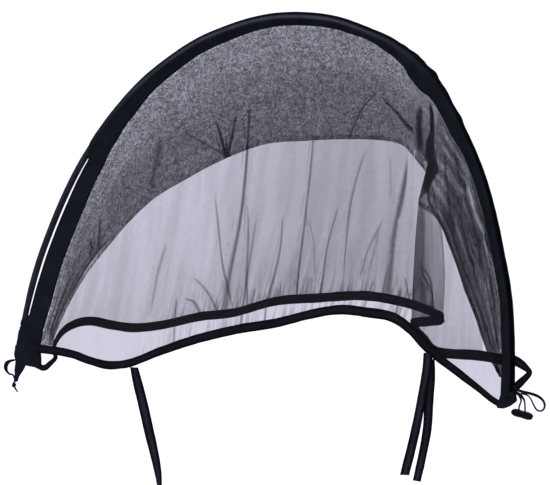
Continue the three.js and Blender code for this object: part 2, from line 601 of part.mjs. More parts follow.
add("back_binding", slab(panel(backSurface, backLimits, [...backColumns, ...tailColumns], {
  from: 2, to: 3, rows: 1, startGap: 1.5 * SEAT, endGap: 0,
}), BINDING_THICKNESS), materials.binding);

add("left_tie", tie(LEFT_TIE, LEFT_TIE_TOP), materials.binding);
add("right_tie_front", tie(RIGHT_TIE_FRONT, RIGHT_TIE_FRONT_TOP), materials.binding);
add("right_tie_back", tie(RIGHT_TIE_BACK, RIGHT_TIE_BACK_TOP), materials.binding);

add("left_foot", plate(LEFT_FOOT, FOOT_DEPTH, 0), materials.casing);
add("right_foot", plate(RIGHT_FOOT, FOOT_DEPTH, 0), materials.casing);
add("left_loop", strap(LEFT_LOOP.map(([x, z]) => vec(x, LEFT_LOOP_DEPTH, z)),
  LOOP_WIDTH, LOOP_THICKNESS, vec(0, 1, 0)), materials.binding);
add("right_loop", strap(RIGHT_LOOP.map(([x, z]) => vec(x, z * Math.tan(LEAN), z)),
  LOOP_WIDTH, LOOP_THICKNESS, planeNormal), materials.binding);

add("left_cord", cordTube(LEFT_CORD), materials.cord);
add("left_knot", new THREE.SphereGeometry(LEFT_KNOT.radius, 10, 8)
  .translate(LEFT_KNOT.x, LEFT_KNOT.y, LEFT_KNOT.z), materials.cord);
add("left_cord_end", cordTube(LEFT_CORD_END), materials.cord);
add("lock_cord_left", cordTube(LOCK_CORD_LEFT), materials.cord);
add("lock_cord_right", cordTube(LOCK_CORD_RIGHT), materials.cord);
add("free_cord", cordTube(FREE_CORD), materials.cord);

// The cord lock: a plastic bean with two round lobes.
function cordLock({ length, width, depth, x, y, z, tilt }) {
  const [lobe, waist] = [width / 2, width * 0.38];
  const reach = length / 2 - lobe;
  const shape = new THREE.Shape();
  shape.absarc(reach, 0, lobe, -Math.PI * 0.62, Math.PI * 0.62);
  shape.quadraticCurveTo(0, waist, -reach + lobe * 0.36, lobe * 0.93);
  shape.absarc(-reach, 0, lobe, Math.PI * 0.38, Math.PI * 1.62);
  shape.quadraticCurveTo(0, -waist, reach - lobe * 0.36, -lobe * 0.93);
  return new THREE.ExtrudeGeometry(shape, { depth, bevelEnabled: false, curveSegments: 8 })
    .translate(0, 0, -depth / 2).rotateX(Math.PI / 2)
    .rotateY(-THREE.MathUtils.degToRad(tilt)).translate(x, y, z);
}
add("cord_lock", cordLock(LOCK), materials.plastic);

export default part;
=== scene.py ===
# %% [markdown]
# # A stroller mosquito net on its hoop
#
# A bent spring rod carries a cloth casing. A sheer front net and a back curtain hang from the
# casing's inner edge, and each ends in an elastic hem. Ties, loops and cords hold it to a
# stroller. The measured model is loaded first, and this lesson never changes its size. Sizes are
# written in millimetres and become metres when a mesh is made.

# %% Load the measured model
import math

import bpy
import numpy as np
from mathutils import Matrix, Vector


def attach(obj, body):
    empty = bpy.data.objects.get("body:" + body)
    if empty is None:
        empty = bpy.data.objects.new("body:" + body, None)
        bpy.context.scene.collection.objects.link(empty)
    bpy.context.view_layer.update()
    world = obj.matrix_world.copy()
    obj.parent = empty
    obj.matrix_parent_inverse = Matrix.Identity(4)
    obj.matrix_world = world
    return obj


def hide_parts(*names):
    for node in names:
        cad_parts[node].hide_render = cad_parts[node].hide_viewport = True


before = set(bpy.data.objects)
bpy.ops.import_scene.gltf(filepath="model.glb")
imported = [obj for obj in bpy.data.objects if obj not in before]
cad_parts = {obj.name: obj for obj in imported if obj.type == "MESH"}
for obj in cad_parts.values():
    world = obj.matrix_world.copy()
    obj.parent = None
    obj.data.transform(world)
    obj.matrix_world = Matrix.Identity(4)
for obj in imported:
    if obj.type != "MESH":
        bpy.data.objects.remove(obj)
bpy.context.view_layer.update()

MM = 0.001
scene = bpy.context.scene

# %% [markdown]
# ## Camera
#
# The camera looks slightly from the right and from a little above, from nearly two metres away. A
# long lens keeps the hoop's arch free of distortion. Colours are shown as they are measured, so
# a white ground reads white. The nets are see-through, so light may pass many sheer faces, and
# noise is cleaned by colour alone: a sheer face as a guide would blur what is seen through it.

# %% Camera
CAMERA_TARGET = Vector((0.0128, 0.060, 0.1475))
CAMERA_DISTANCE = 1.8
CAMERA_AZIMUTH = math.radians(22)
CAMERA_ELEVATION = math.radians(9)
LENS, SENSOR_WIDTH = 100.5, 36
MOST_SHEER_FACES = 16

away = Vector((math.sin(CAMERA_AZIMUTH) * math.cos(CAMERA_ELEVATION),
               -math.cos(CAMERA_AZIMUTH) * math.cos(CAMERA_ELEVATION),
               math.sin(CAMERA_ELEVATION)))
camera = bpy.data.objects.new("camera", bpy.data.cameras.new("camera"))
camera.data.lens = LENS
camera.data.sensor_width = SENSOR_WIDTH
camera.location = CAMERA_TARGET + away * CAMERA_DISTANCE
camera.rotation_euler = away.to_track_quat("Z", "Y").to_euler()
scene.collection.objects.link(camera)
scene.camera = camera
scene.view_settings.view_transform = "Standard"
scene.cycles.denoising_input_passes = "RGB"
scene.cycles.transparent_max_bounces = MOST_SHEER_FACES
print("camera at", [round(x, 3) for x in camera.location])

# %% [markdown]
# ## Studio
#
# Sheer cloth shows what is behind it, so the ground matters as much as the lamps. A pale, faintly
# cool floor far below, lit a little brighter than white, makes the nets read as grey veils. The
# sky has the same colour. Two broad lamps give the dark tape and the rod their soft highlights.

# %% Floor, sky and lamps
FLOOR_HEIGHT, FLOOR_REACH = -0.75, 60
FLOOR_COLOR, FLOOR_ROUGHNESS = (0.93, 0.93, 0.93), 0.95
SKY_COLOR, SKY_STRENGTH = (1.0, 0.985, 1.18), 1.13
LAMP_AIM = Vector((0, 0.1, 0.2))
LAMPS = [  # name, place, size, power
    ("key_lamp", (-0.9, -1.5, 1.5), 0.9, 22),
    ("top_lamp", (0.5, 0.3, 1.9), 1.0, 14),
]


def new_material(name):
    """A new material, its node tree and its shader."""
    material = bpy.data.materials.new(name)
    material.use_nodes = True
    return material, material.node_tree, material.node_tree.nodes["Principled BSDF"]


pale_floor, _, shader = new_material("pale_floor")
shader.inputs["Base Color"].default_value = (*FLOOR_COLOR, 1)
shader.inputs["Roughness"].default_value = FLOOR_ROUGHNESS
floor_mesh = bpy.data.meshes.new("floor")
floor_mesh.from_pydata([(x * FLOOR_REACH, y * FLOOR_REACH, FLOOR_HEIGHT)
                        for x, y in ((-1, -1), (1, -1), (1, 1), (-1, 1))], [], [(0, 1, 2, 3)])
floor_mesh.materials.append(pale_floor)
floor = bpy.data.objects.new("floor", floor_mesh)
scene.collection.objects.link(floor)

world = bpy.data.worlds.new("sky")
world.use_nodes = True
sky = world.node_tree.nodes["Background"]
sky.inputs["Color"].default_value = (*SKY_COLOR, 1)
sky.inputs["Strength"].default_value = SKY_STRENGTH
scene.world = world

for name, place, size, power in LAMPS:
    light = bpy.data.lights.new(name, "AREA")
    light.shape, light.size, light.energy = "DISK", size, power
    lamp = bpy.data.objects.new(name, light)
    lamp.location = place
    lamp.rotation_euler = (Vector(place) - LAMP_AIM).to_track_quat("Z", "Y").to_euler()
    scene.collection.objects.link(lamp)
print("floor at", FLOOR_HEIGHT, "m,", len(LAMPS), "lamps")

# %% [markdown]
# ## Tables as smooth tracks
#
# Cloth hangs in curves that no formula gives, so its edges are written as short tables. Two
# readers turn a table into a track. One is a smooth spline through its rows. The other eases from
# row to row and never overshoots, which suits widths and angles.

# %% Track readers and vector helpers
def smooth_rows(rows, at):
    """Catmull-Rom values at row numbers that needn't be whole."""
    rows = np.asarray(rows, float)
    ends = np.vstack([2 * rows[0] - rows[1], rows, 2 * rows[-1] - rows[-2]])
    i = np.clip(np.floor(at), 0, len(rows) - 2).astype(int)
    f = (at - i)[..., None]
    a, b, c, d = (ends[i + k] for k in range(4))
    return b + 0.5 * f * (c - a + f * (2 * a - 5 * b + 4 * c - d + f * (3 * (b - c) + d - a)))


def eased_rows(rows, where):
    """Values between rows sorted by their first number."""
    rows = np.asarray(rows, float)
    i = np.clip(np.searchsorted(rows[:, 0], where, side="right") - 1, 0, len(rows) - 2)
    f = np.clip((where - rows[i, 0]) / (rows[i + 1, 0] - rows[i, 0]), 0, 1)
    f = (f * f * (3 - 2 * f))[..., None]
    return rows[i, 1:] * (1 - f) + rows[i + 1, 1:] * f


def unit(v):
    return v / np.linalg.norm(v, axis=-1, keepdims=True)


def bump_at(q, middle, half):
    return np.exp(-((q - middle) / half) ** 2)


def ease(x):
    x = np.clip(x, 0, 1)
    return x * x * (3 - 2 * x)


def stretches(*runs):
    """Even steps through runs of start, end and count that share their ends."""
    return np.concatenate([np.linspace(*run)[min(n, 1):] for n, run in enumerate(runs)])


def run_length(points):
    """Length along a line of points, from its first."""
    steps = np.linalg.norm(np.diff(points, axis=0), axis=-1)
    return np.concatenate([np.zeros((1,) + steps.shape[1:]), np.cumsum(steps, axis=0)])


def waves(x, seed, count, shortest, longest):
    """An uneven ripple between about -1 and 1, the same on every run."""
    chance = np.random.default_rng(seed)
    total = np.zeros(np.shape(x))
    for _ in range(count):
        turns = x / chance.uniform(shortest, longest) + chance.random()
        total = total + np.sin(2 * np.pi * turns)
    return total / math.sqrt(2 * count)


# %% [markdown]
# ## Two kinds of mesh
#
# A net is one open layer of faces, because its mesh cloth is thinner than anything that shows.
# Tape, rod, cord and casing are closed forms: a ring of points carried along a path, with both
# ends shut. Each gets a map of its own cloth in metres, so that a weave follows the piece.

# %% Mesh makers
def map_cloth(mesh, uvs):
    """Lay a mesh's points out on their flat cloth."""
    layer = mesh.uv_layers.get("cloth") or mesh.uv_layers.new(name="cloth")
    corners = np.empty(len(mesh.loops), dtype=np.int32)
    mesh.loops.foreach_get("vertex_index", corners)
    layer.data.foreach_set("uv", (np.asarray(uvs)[corners] * MM).astype(np.float32).ravel())


def made_plain(piece):
    """Turn what a piece's modifiers make into its own mesh."""
    ready = piece.evaluated_get(bpy.context.evaluated_depsgraph_get())
    made = bpy.data.meshes.new_from_object(ready)
    piece.modifiers.clear()
    piece.data = made
    return made


def finish_piece(name, points, faces, uvs, material, values=None):
    """A piece in the scene; values holds numbers for each of its points, by their names."""
    mesh = bpy.data.meshes.new(name)
    mesh.from_pydata((np.asarray(points) * MM).tolist(), [], faces)
    map_cloth(mesh, uvs)
    for key, numbers in (values or {}).items():
        mesh.attributes.new(key, "FLOAT", "POINT").data.foreach_set(
            "value", np.asarray(numbers, np.float32).ravel())
    mesh.polygons.foreach_set("use_smooth", [True] * len(mesh.polygons))
    mesh.materials.append(material)
    piece = bpy.data.objects.new(name, mesh)
    scene.collection.objects.link(piece)
    return piece


def open_sheet(name, grid, uv, material, values=None):
    """One layer of cloth from a grid of points."""
    rows, columns = grid.shape[:2]
    i, j = np.meshgrid(np.arange(rows - 1), np.arange(columns - 1), indexing="ij")
    a = (i * columns + j).ravel()
    faces = np.stack([a, a + columns, a + columns + 1, a + 1], -1).tolist()
    return finish_piece(name, grid.reshape(-1, 3), faces, uv.reshape(-1, 2), material, values)


def closed_sweep(name, rings, material, values=None):
    """A closed form from rings of points, one ring for each step of its path."""
    steps, sides = rings.shape[:2]
    i, j = np.meshgrid(np.arange(steps - 1), np.arange(sides), indexing="ij")
    a, b = (i * sides + j).ravel(), (i * sides + (j + 1) % sides).ravel()
    faces = np.stack([a, b, b + sides, a + sides], -1).tolist()
    faces += [list(range(sides))[::-1], list(range((steps - 1) * sides, steps * sides))]
    flat = rings.reshape(-1, 3)
    middle = rings.mean(axis=1)
    tested = np.array(faces[:sides * 8])  # eight rings tell whether the faces look outwards
    corner = flat[tested[:, 0]]
    normal = np.cross(flat[tested[:, 1]] - corner, flat[tested[:, 2]] - corner)
    if (normal * (corner - middle[np.arange(len(tested)) // sides])).sum() < 0:
        faces = [f[::-1] for f in faces]
    around = run_length(np.swapaxes(rings, 0, 1)).T
    along = np.broadcast_to(run_length(middle)[:, None], (steps, sides))
    uv = np.stack([around, along], -1)
    return finish_piece(name, flat, faces, uv.reshape(-1, 2), material, values)


def carried_frame(path):
    """Two directions across a path that turn as little as they can."""
    way = unit(np.gradient(path, axis=0))
    side = unit(np.cross(way[0], [0.21, 0.93, 0.31]))
    sides = [side]
    for direction in way[1:]:
        side = unit(side - direction * np.dot(side, direction))
        sides.append(side)
    sides = np.array(sides)
    return sides, np.cross(way, sides)


def round_rings(path, radius, sides):
    """Rings of a round cord or rod, a little uneven if its radius is."""
    one, two = carried_frame(path)
    angle = 2 * np.pi * np.arange(sides) / sides
    radius = np.broadcast_to(np.asarray(radius, float), len(path))[:, None, None]
    return path[:, None] + radius * (np.cos(angle)[None, :, None] * one[:, None]
                                     + np.sin(angle)[None, :, None] * two[:, None])


def spaced(path, step):
    """A smooth track through a few points, resampled at an even step."""
    fine = smooth_rows(path, np.linspace(0, len(path) - 1, 40 * len(path)))
    far = run_length(fine)
    at = np.linspace(0, far[-1], max(3, int(round(far[-1] / step)) + 1))
    return np.stack([np.interp(at, far, fine[:, k]) for k in range(3)], -1)


# %% [markdown]
# ## Shared shader groups
#
# Three small node groups serve more than one finish. *weave* gives tape and casing the fine
# diagonal rib of woven polyester. *net mesh* gives the nets their tiny cells. *streaks* makes the
# uneven lines of gathered cloth. Each only puts out a mask; the shader stays in its material.

# %% Node helpers
def fill(tree, node, inputs):
    """Link or set a node's sockets, each given by name or number."""
    for label, value in inputs.items():
        if isinstance(value, bpy.types.NodeSocket):
            tree.links.new(value, node.inputs[label])
        else:
            node.inputs[label].default_value = value


def add_node(tree, kind, inputs=None, **settings):
    node = tree.nodes.new(kind)
    for key, value in settings.items():
        setattr(node, key, value)
    fill(tree, node, inputs or {})
    return node


def math_node(tree, operation, *values, clamp=False):
    return add_node(tree, "ShaderNodeMath", dict(enumerate(values)), operation=operation,
                    use_clamp=clamp).outputs[0]


def plus(tree, a, b):
    return math_node(tree, "ADD", a, b)


def minus(tree, a, b):
    return math_node(tree, "SUBTRACT", a, b)


def times(tree, a, b):
    return math_node(tree, "MULTIPLY", a, b)


def map_node(tree, value, low, high, to_low, to_high):
    """A smooth step from one range of values to another."""
    inputs = {"Value": value, "From Min": low, "From Max": high, "To Min": to_low,
              "To Max": to_high}
    node = add_node(tree, "ShaderNodeMapRange", inputs, interpolation_type="SMOOTHSTEP")
    return node.outputs["Result"]


def scaled(tree, vector, x, y):
    inputs = {"Vector": vector, "Scale": (x, y, 1)}
    return add_node(tree, "ShaderNodeMapping", inputs).outputs["Vector"]


def noise(tree, vector, scale=1.0, detail=2.0, roughness=0.5, distortion=0.0):
    inputs = {"Vector": vector, "Scale": scale, "Detail": detail, "Roughness": roughness,
              "Distortion": distortion}
    return add_node(tree, "ShaderNodeTexNoise", inputs).outputs["Fac"]


def mixed(tree, share, one, two):
    """A colour between two, each of them a socket or three numbers."""
    a, b = (color if isinstance(color, bpy.types.NodeSocket) else (*color, 1)
            for color in (one, two))
    node = add_node(tree, "ShaderNodeMix", {0: share, "A": a, "B": b}, data_type="RGBA")
    return node.outputs["Result"]


def raised(tree, height, strength, distance):
    inputs = {"Height": height, "Strength": strength, "Distance": distance}
    return add_node(tree, "ShaderNodeBump", inputs).outputs[0]


def attribute(tree, key):
    return add_node(tree, "ShaderNodeAttribute", attribute_name=key).outputs["Fac"]


def cloth_map(tree):
    return add_node(tree, "ShaderNodeUVMap", uv_map="cloth").outputs[0]


def mask(tree, group, where, number):
    """One of the shared groups, laid on a map with its own number set."""
    return add_node(tree, "ShaderNodeGroup", {0: where, 1: number}, node_tree=group).outputs[0]

# %% [markdown]
# A pattern is made of sine waves: two that cross at right angles make a woven rib, and three that
# lean by sixty degrees make small six-sided cells. A streak is the ridge line of an uneven noise.

# %% The groups
def new_group(name, label, value, result):
    """A group that turns the cloth's map and one number into a mask."""
    tree = bpy.data.node_groups.new(name, "ShaderNodeTree")
    face = tree.interface
    face.new_socket("Map", in_out="INPUT", socket_type="NodeSocketVector")
    face.new_socket(label, in_out="INPUT", socket_type="NodeSocketFloat").default_value = value
    face.new_socket(result, in_out="OUTPUT", socket_type="NodeSocketFloat")
    given, out = tree.nodes.new("NodeGroupInput"), tree.nodes.new("NodeGroupOutput")
    return tree, given.outputs["Map"], given.outputs[label], out


def new_pattern(name, pitch, result):
    """A group with the two directions of its map and how fast its waves turn."""
    tree, where, pitch, out = new_group(name, "Pitch", pitch, result)
    split = add_node(tree, "ShaderNodeSeparateXYZ", {0: where}).outputs
    return tree, split[0], split[1], math_node(tree, "DIVIDE", 2 * math.pi, pitch), out


weave, x, y, turn, out = new_pattern("weave", 0.0009, "Rib")
rise = math_node(weave, "SINE", times(weave, plus(weave, x, y), turn))
cross = math_node(weave, "SINE", times(weave, minus(weave, x, y), turn))
rib = plus(weave, rise, times(weave, cross, 0.5))
fill(weave, out, {"Rib": math_node(weave, "MULTIPLY_ADD", rib, 0.33, 0.5, clamp=True)})

net_mesh, x, y, turn, out = new_pattern("net mesh", 0.0011, "Thread")
cells = math_node(net_mesh, "COSINE", times(net_mesh, x, turn))
lean = times(net_mesh, y, 1.732)  # the square root of three, for sixty degrees
for way in (plus, minus):
    slanted = times(net_mesh, way(net_mesh, x, lean), 0.5)
    cells = plus(net_mesh, cells, math_node(net_mesh, "COSINE", times(net_mesh, slanted, turn)))
fill(net_mesh, out, {"Thread": map_node(net_mesh, cells, -1.5, 3.0, 1.0, 0.0)})

streaks, where, sharpness, out = new_group("streaks", "Sharpness", 0.12, "Line")
uneven = noise(streaks, where, 1.0, 1.5, 0.5, 0.4)
ridge = math_node(streaks, "ABSOLUTE", minus(streaks, uneven, 0.5))
fill(streaks, out, {"Line": map_node(streaks, ridge, 0.0, sharpness, 1.0, 0.0)})
print("groups:", [g.name for g in bpy.data.node_groups])

# %% [markdown]
# ## Finishes of the solid pieces
#
# Casing and tape are navy-black woven polyester, so they share one recipe: a dark base, a weave
# bump and soft broad unevenness in colour. Two attributes add painted light from place to place:
# painted shade darkens the edges where the cloth turns away from the light, and a painted highlight
# pales the casing over the rod. The rod has a smooth plastic cover. The elastic cord is braided.

# %% Tape, casing, rod, cord and plastic
RIB_SHARE, WEAR_SHARE = 0.35, 0.65
RIB_DEPTH, GRAIN_DEPTH = 0.0002, 0.0001
CLOTH_GLOSS = 0.02


def cloth_material(name, low, high, pitch, strength, edge_shade_keep=0.1, roughness=0.85, sleeve_highlight=None):
    """Woven cloth from its darkest to its palest colour, with painted shade at its edges and an
    optional painted highlight; the share is the colour left where the painted shade is deepest.
    """
    material, tree, shader = new_material(name)
    rib = mask(tree, weave, cloth_map(tree), pitch)
    wear = noise(tree, add_node(tree, "ShaderNodeTexCoord").outputs["Object"], 45, 4, 0.6)
    amount = plus(tree, times(tree, rib, RIB_SHARE), times(tree, wear, WEAR_SHARE))
    color = mixed(tree, map_node(tree, amount, 0.25, 0.75, 0.0, 1.0), low, high)
    # painted shade: the colour is mixed towards black at the cloth's shaded edges
    color = mixed(tree, times(tree, attribute(tree, "edge_shade"), 1 - edge_shade_keep), color, (0, 0, 0))
    # painted highlight: a paler colour along the casing's top over the rod, a little uneven with
    # the wear
    if sleeve_highlight:
        highlight_share = times(tree, attribute(tree, "sleeve_highlight"), map_node(tree, wear, 0.3, 0.7, 0.7, 1.0))
        color = mixed(tree, highlight_share, color, sleeve_highlight)
    fill(tree, shader, {
        "Base Color": color, "Specular IOR Level": CLOTH_GLOSS,
        "Roughness": map_node(tree, wear, 0.3, 0.7, roughness - 0.08, roughness + 0.08),
        "Normal": raised(tree, rib, strength, RIB_DEPTH)})
    return material


def smooth_material(name, low, high, roughness, grain, gloss):
    """Moulded plastic or a plastic cover, scuffed a little."""
    material, tree, shader = new_material(name)
    where = add_node(tree, "ShaderNodeTexCoord").outputs["Object"]
    scuff = noise(tree, where, 130, 5, 0.65)
    fill(tree, shader, {
        "Base Color": mixed(tree, map_node(tree, scuff, 0.35, 0.7, 0.0, 1.0), low, high),
        "Roughness": map_node(tree, scuff, 0.3, 0.7, roughness - 0.07, roughness + 0.1),
        "Specular IOR Level": gloss,
        "Normal": raised(tree, noise(tree, where, grain, 3, 0.6), 0.3, GRAIN_DEPTH)})
    return material


casing_cloth = cloth_material("casing_cloth", (0.0025, 0.003, 0.0045), (0.0075, 0.0088, 0.012),
                              0.0008, 0.5, 0.03, sleeve_highlight=(0.05, 0.052, 0.068))
tape_cloth = cloth_material("tape_cloth", (0.006, 0.0063, 0.0095), (0.02, 0.021, 0.028),
                            0.001, 0.7, 0.03)
elastic_cloth = cloth_material("elastic_cloth", (0.003, 0.0032, 0.0045), (0.0085, 0.009, 0.012),
                               0.0012, 0.8)
braid = cloth_material("braid", (0.002, 0.002, 0.003), (0.006, 0.006, 0.008), 0.0016, 1.0, 0.1, 0.7)
rod_cover = smooth_material("rod_cover", (0.004, 0.0045, 0.006), (0.010, 0.011, 0.014),
                            0.5, 900, 0.06)
lock_plastic = smooth_material("lock_plastic", (0.001, 0.001, 0.0013), (0.0025, 0.0025, 0.003),
                               0.32, 1500, 0.05)
print("finishes:", [m.name for m in bpy.data.materials])

# %% [markdown]
# ## Cords
#
# Three short pieces of 2 mm elastic cord show at the feet. The left one makes a ring, then hangs
# to a knot with a short free end. At the right, one cord goes down through a cord lock and up
# again, and another makes an open loop. A cord is a fixed length, so each is a tube along a
# smooth path, and the path's length is measured.

# %% Cords
CORD_STEP, CORD_SIDES = 0.7, 12
LEFT_CORD_RADII = [1.2, 1.5, 2.3, 2.8, 2.4, 1.6, 1.2, 1.1, 1.1, 1.1, 1.1, 1.1, 0.8]
LOCK_CORD_RADII = [1.5, 1.5, 1.3, 0.9, 0.9, 1.0, 1.0, 1.0, 0.9, 0.9, 1.3, 1.5, 1.5]
FREE_CORD_RADII = [1.5, 1.6, 1.6, 1.6, 1.6, 1.5, 1.3, 1.1, 1.0, 1.0, 0.9, 0.8, 0.8, 0.9, 1.0]
LEFT_CORD = [
    [-308, 0, -9], [-313.6, 0, -10.4], [-319.2, 0, -13.8], [-321.4, 0, -19.2], [-319.8, 0, -24.4],
    [-315.4, -0.6, -27.2], [-310.6, -1.6, -27.6], [-308, -2.4, -30.6], [-307.4, -2.6, -34],
    [-308.3, -2.6, -37.2], [-308.4, -2.6, -40], [-307.6, -2.6, -42.9], [-305.8, -2.6, -45.6],
    [-303.4, -2.6, -48.4],
]
LOCK_CORD = [
    [314, 0.9, 14.2], [318, -1.2, 11], [321.4, -1.2, 7.2], [323, -1, 2.5], [321.6, -0.6, -2.5],
    [320.8, -0.5, -6.4], [321.4, -0.5, -11], [323.8, -0.4, -14.4], [326.8, -0.2, -13.2],
    [327.4, 0, -8.8], [327, 0.4, -3], [326, 1.2, 2.5], [322.8, 1.4, 7], [318.6, 1.1, 9.8],
    [314.8, 1.5, 10.6],
]
FREE_CORD = [
    [313.4, 1.2, 17], [316.6, -0.8, 15.2], [322, -2.6, 13.6], [328.5, -2.6, 12.5],
    [336, -2.2, 11.2], [342.6, -1.8, 8.8], [347.4, -1.5, 4.4], [348.8, -1.5, -1],
    [346.6, -1.5, -5.6], [342.6, -1.5, -6.6], [339.2, -1.5, -4.4], [336.2, -1.5, 0.6],
    [333, -0.6, 6], [329, 2.2, 8.2], [323.4, 4.8, 8.6], [318, 4.6, 8], [314.8, 3.6, 7.8],
]


def cord(name, route, radii):
    """A cord's piece, with its path and length in metres."""
    path = spaced(route, CORD_STEP)
    radius = np.interp(np.linspace(0, 1, len(path)), np.linspace(0, 1, len(radii)), radii)
    piece = closed_sweep(name, round_rings(path, radius, CORD_SIDES), braid)
    return piece, path * MM, run_length(path)[-1] * MM


left_cord, left_path, left_length = cord("left_elastic", LEFT_CORD, LEFT_CORD_RADII)
lock_cord, lock_path, lock_length = cord("lock_elastic", LOCK_CORD, LOCK_CORD_RADII)
free_cord, free_path, free_length = cord("free_elastic", FREE_CORD, FREE_CORD_RADII)
print("cords:", [round(x, 4) for x in (left_length, lock_length, free_length)], "m")

# %% [markdown]
# ## The hoop
#
# The hoop is a leaning half ellipse whose radius swells and shrinks a little, because a spring rod
# never bends evenly. One function gives a point of its centreline for a fraction t from the left
# foot to the right one. The casing, and with it both curtains, follow from that line.

# %% Hoop line and rod
HALF_SPAN = 306
RISE = 440
LEAN = math.radians(20.7)
# The rod is thicker where it is bare: t, then its radius.
ROD_RADIUS = [[0, 3.5], [0.04, 3.6], [0.06, 4.1], [0.2, 4.1], [0.24, 3.6], [1, 3.5]]
ROD_STATIONS, ROD_SIDES = 240, 20
PLANE_NORMAL = np.array([0, math.cos(LEAN), -math.sin(LEAN)])
# How far the line lies outside an even ellipse: t, then the distance.
UNEVEN = [[0, -3.5], [0.1, -0.5], [0.2, 2.5], [0.28, 2.5], [0.35, 0], [0.42, -3], [0.5, -3],
          [0.58, -1], [0.65, 3], [0.71, 2], [0.78, -1], [0.87, -3], [0.93, 0], [1, 2.5]]


def hoop_point(t):
    t = np.asarray(t, float)
    out = eased_rows(UNEVEN, t)[..., 0]
    rise = (RISE + out) * np.sin(np.pi * t)
    return np.stack([-(HALF_SPAN + out) * np.cos(np.pi * t), rise * math.sin(LEAN),
                     rise * math.cos(LEAN)], -1)


def hoop_inward(t):
    way = unit(hoop_point(t + 0.002) - hoop_point(t - 0.002))
    return unit(np.cross(PLANE_NORMAL, way))


rod_t = np.linspace(0, 1, ROD_STATIONS)
rod_rings = round_rings(hoop_point(rod_t), eased_rows(ROD_RADIUS, rod_t)[:, 0], ROD_SIDES)
rod = closed_sweep("rod", rod_rings, rod_cover)
print("hoop:", round(run_length(hoop_point(rod_t))[-1]), "mm long")

# %% [markdown]
# ## The casing
#
# The casing is a strip of cloth folded round the rod and sewn shut along its inner edge, where the
# curtains are caught in the same seam. On the left leg the strip lies flat beside the bare rod; at
# the upper right its cloth is pushed together into a bunch. A sheet that is swept along the hoop
# shows all of this, once its cross-section may change: a table gives the flat band's width, the
# slit beside the rod, how far the cloth wraps, and the sleeve's radius.

# %% Casing section
CASING = [  # t, band, slit, wrap in degrees, sleeve, twist in degrees
    [0.002, 22.5, 0, 230, 4.3, 6], [0.02, 23, 0, 230, 4.3, 6], [0.036, 23.7, 0.3, 0, 4.7, 6.5],
    [0.05, 24.4, 0.7, 0, 5, 7], [0.08, 23.5, 1.7, 0, 5, 8], [0.14, 23.5, 1.6, 0, 5, 10],
    [0.188, 21.1, 0.6, 2, 5, 16], [0.217, 17.6, 0.1, 120, 4.9, 20], [0.25, 14.1, 0, 230, 5, 25],
    [0.3, 10.5, 0, 230, 5.1, 34], [0.37, 8.5, 0, 230, 5.1, 38], [0.5, 6, 0, 230, 5.1, 42],
    [0.57, 5, 0, 230, 5.2, 38], [0.6, 3.5, 0, 230, 5.3, 36], [0.64, 5, 0, 230, 6.4, 26],
    [0.66, 4.4, 0, 230, 7.8, 22], [0.68, 8, 0, 230, 8.6, 19], [0.695, 8, 0, 230, 9, 18],
    [0.712, 5.4, 0, 230, 7.6, 20], [0.735, 8.6, 0, 230, 5.4, 26], [0.752, 10, 0, 230, 5.2, 29],
    [0.78, 6.4, 0, 230, 5.1, 32], [0.9, 6, 0, 230, 5.4, 36], [0.998, 7, 0, 230, 5.4, 36],
]
CASING_THICKNESS = 0.9
FULL_WRAP, CLOSED_WRAP = 230, 90
SEAM_GAP = 0.7


def casing_frame(t):
    """Directions across and through the casing, its sizes, and the seam at its inner edge."""
    t = np.asarray(t, float)
    band, slit, wrap, sleeve, twist = np.moveaxis(eased_rows(CASING, t), -1, 0)
    twist = np.radians(twist)[..., None]
    inward = hoop_inward(t)
    across = inward * np.cos(twist) + PLANE_NORMAL * np.sin(twist)
    thick = PLANE_NORMAL * np.cos(twist) - inward * np.sin(twist)
    start = hoop_point(t) + across * slit[..., None]
    seam = sleeve + band
    return start, across, thick, seam, sleeve, wrap


def casing_grid(t, count):
    """The casing's cloth from the seam in front, round the rod, and back to the seam."""
    start, across, thick, seam, sleeve, wrap = casing_frame(t)
    closing = np.clip(wrap / FULL_WRAP, 0, 1)
    lift = np.arccos(sleeve / seam) * np.minimum(1, wrap / CLOSED_WRAP)
    leave_x, leave_y = sleeve * np.cos(lift), sleeve * np.sin(lift)
    flat = np.hypot(seam - leave_x, leave_y)
    arc = closing * (2 * np.pi - 2 * lift) * sleeve
    back = flat * closing ** 6  # the way back to the seam, only where the wrap is nearly full
    seam, sleeve, lift, leave_x, leave_y, flat, arc, closing = (
        x[:, None] for x in (seam, sleeve, lift, leave_x, leave_y, flat, arc, closing))
    far = np.linspace(0, 1, count)[None] * (flat + arc + back[:, None])
    off = far / flat
    angle = lift + (far - flat) / sleeve
    home = (far - flat - arc) / flat
    half_gap = SEAM_GAP * closing
    x = np.where(far < flat, seam + (leave_x - seam) * off,
                 np.where(home < 0, sleeve * np.cos(angle), leave_x + (seam - leave_x) * home))
    y = np.where(far < flat, leave_y * off + half_gap * (1 - off),
                 np.where(home < 0, sleeve * np.sin(angle),
                          -leave_y * (1 - home) - half_gap * home))
    return start, across, thick, x, y


print("casing table:", len(CASING), "rows")

# %% [markdown]
# The cloth isn't quite smooth. It ripples a little everywhere and much more in the bunch, and it
# kinks outwards in a few places. Its edges get painted shade, and its top over the rod a painted
# highlight.

# %% Casing
KINKS = [[0.668, 1.0, 0.007], [0.694, 1.2, 0.006], [0.747, 1.2, 0.005]]  # t, height, half width
BUNCH, BUNCH_HALF = 0.682, 0.036
RIPPLE, BUNCH_RIPPLE, RIPPLE_RUN = 0.12, 0.5, 1180
OPEN_WRAP = 100  # the strip's far edge shows while its cloth wraps less than this
# painted shade at the casing's edges: where it starts and over how many millimetres it fades
SHADE_START, SEAM_SHADE_WIDTH, EDGE_SHADE_WIDTH = 0.6, 2.2, 1.6
